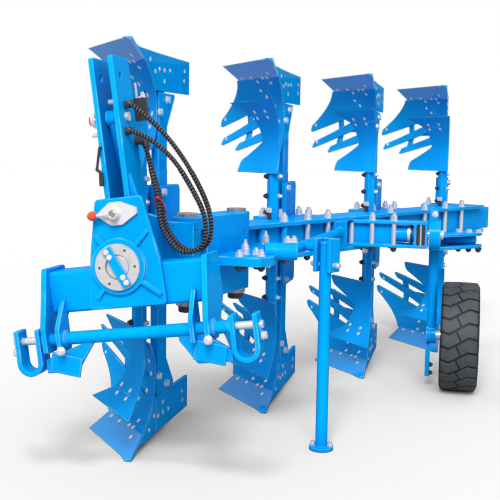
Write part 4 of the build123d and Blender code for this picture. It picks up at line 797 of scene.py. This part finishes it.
for name, route in HOSES.items():
    points = [lean(*point) for point in route]
    hose = tube(name + "_rubber", points, HOSE_DIA / 2, hose_rubber, resolution=12, roundness=4)
    places = line_points(hose)
    turns = winding(places, HOSE_DIA / 2, GUARD_PITCH, GUARD_STEPS)
    guard = tube(name + "_guard", turns, GUARD_RADIUS, guard_plastic, resolution=2, roundness=1)
    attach(hose, "headstock")
    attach(guard, "headstock")
    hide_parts(name)
    tuple(lean(*route[0]))

# Hose strap. A slack red plastic strap, looped at a slant round both hoses
# where they run up together.
STRAP_RADIUS, STRAP_THICK, STRAP_NARROW = 0.034, 0.0036, 0.55
STRAP_PLACE = (132, -238, 198)
STRAP_RED, STRAP_FADED = (0.60, 0.005, 0.03, 1), (0.72, 0.02, 0.06, 1)
strap_plastic, flow, place = new_finish("strap_plastic")
fade = cloud(flow, place, 80.0, 2.0)
apply_coat(strap_plastic, {"Base Color": blend(flow, fade, STRAP_RED, STRAP_FADED),
                           "Roughness": 0.3 + fade * 0.1})
deselect()
bpy.ops.mesh.primitive_torus_add(major_radius=STRAP_RADIUS, minor_radius=STRAP_THICK,
                                 major_segments=48, minor_segments=10)
strap = bpy.context.object
for vertex in strap.data.vertices:
    vertex.co = (vertex.co.x * STRAP_NARROW, vertex.co.y, vertex.co.z + vertex.co.y)
bpy.ops.object.shade_smooth()
patterns.append(strap)
copies("hose_strap", strap, [(lean(*STRAP_PLACE), UP)], strap_plastic, "headstock")

# Tyre. Moulded rubber on the rim: a round carcass, and on it two rows of zigzag tread
# blocks, twenty-four to the turn, with a slanted groove between the rows.
tyre_low, tyre_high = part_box("tyre")
wheel_middle = (tyre_low + tyre_high) / 2
TYRE_RADIUS = (tyre_high.z - tyre_low.z) / 2
HALF_TYRE = (tyre_high.x - tyre_low.x) / 2
TYRE_BLACK, TYRE_DUSTY = (0.024, 0.028, 0.031, 1), (0.070, 0.080, 0.084, 1)
GROOVE_PAINTED_SHADE = (0.004, 0.004, 0.005, 1)
rubber, flow, place = new_finish("tyre_rubber")
dust = cloud(flow, place, 26.0, 5.0)
pores = cloud(flow, place, 260.0, 3.0)
spoke = flow.node("VectorMath", {"operation": "SUBTRACT"}, {0: place, 1: tuple(wheel_middle)})
spoke = flow.node("VectorMath", {"operation": "MULTIPLY"}, {0: spoke, 1: (0, 1, 1)})
reach = flow.node("VectorMath", {"operation": "LENGTH"}, {0: spoke}, "Value") * (1 / TYRE_RADIUS)
# Painted shade: the rubber darkens to near black down in the grooves between the tread blocks.
raised = ramp(flow, reach, (0.955, 0.006), (0.98, 1))
colour = blend(flow, raised, GROOVE_PAINTED_SHADE, blend(flow, dust, TYRE_BLACK, TYRE_DUSTY))
apply_coat(rubber, {"Base Color": colour, "Roughness": 0.5 + dust * 0.25,
                    "Normal": grained(flow, pores, 0.2)})

CARCASS = (
    # Places across the tyre and out from the axle
    (-0.80, 0.567), (-0.90, 0.62), (-0.985, 0.77), (-0.97, 0.90), (-0.84, 0.955), (-0.4, 0.962),
    (0.4, 0.962), (0.84, 0.955), (0.97, 0.90), (0.985, 0.77), (0.90, 0.62), (0.80, 0.567),
)
deselect()
bpy.ops.mesh.primitive_circle_add(vertices=len(CARCASS), radius=0.1, fill_type="NOTHING")
carcass = bpy.context.object
for vertex, (across, out) in zip(carcass.data.vertices, CARCASS):
    vertex.co = (across * HALF_TYRE, 0, out * TYRE_RADIUS)
bpy.ops.object.mode_set(mode="EDIT")
bpy.ops.mesh.select_all(action="SELECT")
bpy.ops.mesh.spin(steps=96, angle=math.tau, center=(0, 0, 0), axis=(1, 0, 0))
bpy.ops.mesh.select_all(action="SELECT")
bpy.ops.mesh.remove_doubles(threshold=0.0001)
bpy.ops.mesh.normals_make_consistent(inside=False)
bpy.ops.object.mode_set(mode="OBJECT")

ZIGZAG = (
    # The groove's places across the tyre, and how many block pitches ahead
    (-1.0, 0.0), (-0.53, -0.2), (0.46, 0.6), (1.0, 0.47),
)
BLOCKS = 24
GROOVE, GROOVE_DEPTH, BLOCK_ROOT, BLOCK_EDGE = 0.085, 0.014, 0.004, 0.0016
SLANT_TOP, SLANT_LOW, SLANT_GAP = 0.10, -0.19, 0.035
TREAD_WIDTH, CROWN_DROP = 0.985, 0.012
SHOULDER, SHOULDER_DROP = 0.88, 0.07
COLUMNS, ROWS = 5, 4


def zigzag(across):
    """How far the tread's groove runs ahead at a place across the tyre, in block pitches."""
    for (low, start), (high, end) in zip(ZIGZAG, ZIGZAG[1:]):
        if across <= high:
            return start + (end - start) * (across - low) / (high - low)
    return ZIGZAG[-1][1]


def block_place(across, ahead):
    """A place on the tread's outer face."""
    over_shoulder = max(0.0, abs(across) - SHOULDER) / (1 - SHOULDER)
    reach = TYRE_RADIUS * (1 - CROWN_DROP * across * across - SHOULDER_DROP * over_shoulder)
    turn = math.tau * (zigzag(across) + ahead) / BLOCKS
    return Vector((across * HALF_TYRE * TREAD_WIDTH, reach * math.sin(turn), reach * math.cos(turn)))


def tread_block(edge, kink):
    """One block between two grooves, from a shoulder over the groove's kink to the slant."""
    stops = (edge, edge * SHOULDER, (edge * SHOULDER + kink) / 2, kink)
    deselect()
    bpy.ops.mesh.primitive_grid_add(x_subdivisions=COLUMNS, y_subdivisions=ROWS, size=2)
    block = bpy.context.object
    for vertex in block.data.vertices:
        column = round((vertex.co.x + 1) / 2 * COLUMNS)
        ahead = GROOVE + (vertex.co.y + 1) / 2 * (1 - 2 * GROOVE)
        slant = SLANT_TOP + (SLANT_LOW - SLANT_TOP) * ahead + math.copysign(SLANT_GAP, edge)
        inner = (*stops, (kink + slant) / 2, slant)
        vertex.co = block_place(inner[column], ahead)
    thick = block.modifiers.new("depth", "SOLIDIFY")
    thick.thickness = GROOVE_DEPTH + BLOCK_ROOT
    thick.offset = -1
    round_edge = block.modifiers.new("edge", "BEVEL")
    round_edge.width = BLOCK_EDGE
    round_edge.segments = 1
    bpy.ops.object.mode_set(mode="EDIT")
    bpy.ops.mesh.select_all(action="SELECT")
    bpy.ops.mesh.normals_make_consistent(inside=False)
    bpy.ops.object.mode_set(mode="OBJECT")
    middle = block.data.polygons[len(block.data.polygons) // 2]
    if middle.normal.dot(Vector((0, middle.center.y, middle.center.z))) < 0:
        block.data.flip_normals()
    bpy.ops.object.modifier_apply(modifier="depth")
    bpy.ops.object.modifier_apply(modifier="edge")
    patterns.append(block)
    return block


pair = [tread_block(ZIGZAG[0][0], ZIGZAG[1][0]), tread_block(ZIGZAG[-1][0], ZIGZAG[-2][0])]
tread = [carcass]
for number in range(BLOCKS):
    for block in pair:
        copy = block.copy()
        copy.data = block.data.copy()
        bpy.context.collection.objects.link(copy)
        copy.data.transform(Matrix.Rotation(math.tau * number / BLOCKS, 4, "X"))
        tread.append(copy)
deselect()
for piece in tread:
    piece.select_set(True)
bpy.context.view_layer.objects.active = carcass
bpy.ops.object.join()
carcass.name = "treaded_tyre"
carcass.data.name = "treaded_tyre"
carcass.data.transform(Matrix.Translation(wheel_middle))
bpy.ops.object.shade_smooth_by_angle(angle=math.radians(35))
carcass.data.materials.clear()
carcass.data.materials.append(rubber)
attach(carcass, "wheel")
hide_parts("tyre")

for pattern in patterns:
    # It was only there to be copied
    bpy.data.objects.remove(pattern)

# Studio. A wide pale floor that only shows the soft shadows, a white surround,
# one broad light from the front and above, and a smaller one beside it for the glints.
FLOOR_SIZE = 120
FLOOR_GREY, FLOOR_PALE = (0.40, 0.40, 0.40, 1), (0.46, 0.46, 0.46, 1)
SURROUND_LIGHT, BACKDROP_LIGHT = 0.68, 1.0
WHITE_LIGHT = (1, 1, 1, 1)
floor_paint, flow, place = new_finish("floor_paint")
speck = cloud(flow, place, 3.0, 2.0)
apply_coat(floor_paint, {"Base Color": blend(flow, speck, FLOOR_GREY, FLOOR_PALE), "Roughness": 0.9,
                         "Specular IOR Level": 0.1})
deselect()
bpy.ops.mesh.primitive_plane_add(size=FLOOR_SIZE)
floor = bpy.context.object
floor.name = "floor"
floor.data.materials.append(floor_paint)
floor.is_shadow_catcher = True
surround = bpy.data.worlds.new("surround")
surround.use_nodes = True
bpy.context.scene.world = surround
flow = Flow(surround.node_tree)
seen = flow.node("LightPath", out="Is Camera Ray")
light = flow.node("Background", None, {"Color": WHITE_LIGHT, "Strength": SURROUND_LIGHT})
backdrop = flow.node("Background", None, {"Color": WHITE_LIGHT, "Strength": BACKDROP_LIGHT})
sky = flow.node("MixShader", None, {0: seen, 1: light, 2: backdrop})
surround.node_tree.links.new(sky.socket, surround.node_tree.nodes["World Output"].inputs["Surface"])


def studio_light(name, kind, place, aim, power, **settings):
    """A lamp that faces a place."""
    lamp = bpy.data.lights.new(name, kind)
    lamp.energy = power
    for setting, value in settings.items():
        setattr(lamp, setting, value)
    stand = bpy.data.objects.new(name, lamp)
    stand.location = place
    stand.rotation_euler = (Vector(aim) - Vector(place)).to_track_quat("-Z", "Y").to_euler()
    bpy.context.collection.objects.link(stand)


studio_light("front_light", "SUN", place=(0.9, -6.0, 5.5), aim=(0, 0, 0.8), power=2.0, angle=math.radians(35))
studio_light("glint_light", "AREA", place=(0.4, -5.0, 4.5), aim=(0, 0, 0.9), power=110, size=0.7)

# Camera. It stands in front of the plough and to its right, a little above the turnover axis,
# and looks slightly down and to the left, as in the photograph.
EYE_FROM_AXIS = Vector((1.1884, -3.1497, 0.4151))
YAW, PITCH, ROLL = math.radians(12.898), math.radians(6.096), math.radians(0.878)
ahead = Vector((-math.sin(YAW) * math.cos(PITCH), math.cos(YAW) * math.cos(PITCH), -math.sin(PITCH)))
right = ahead.cross(UP).normalized()
up = right.cross(ahead)
turned_right = right * math.cos(ROLL) + up * math.sin(ROLL)
turned_up = up * math.cos(ROLL) - right * math.sin(ROLL)
lens = bpy.data.cameras.new("photo_view")
lens.lens = 64.8
lens.sensor_width = 36
lens.clip_end = 200
eye = bpy.data.objects.new("photo_view", lens)
bpy.context.collection.objects.link(eye)
facing = Matrix((turned_right, turned_up, -ahead)).transposed().to_4x4()
eye.matrix_world = Matrix.Translation(turnover + EYE_FROM_AXIS) @ facing
bpy.context.scene.camera = eye
bpy.context.scene.view_settings.view_transform = "Standard"
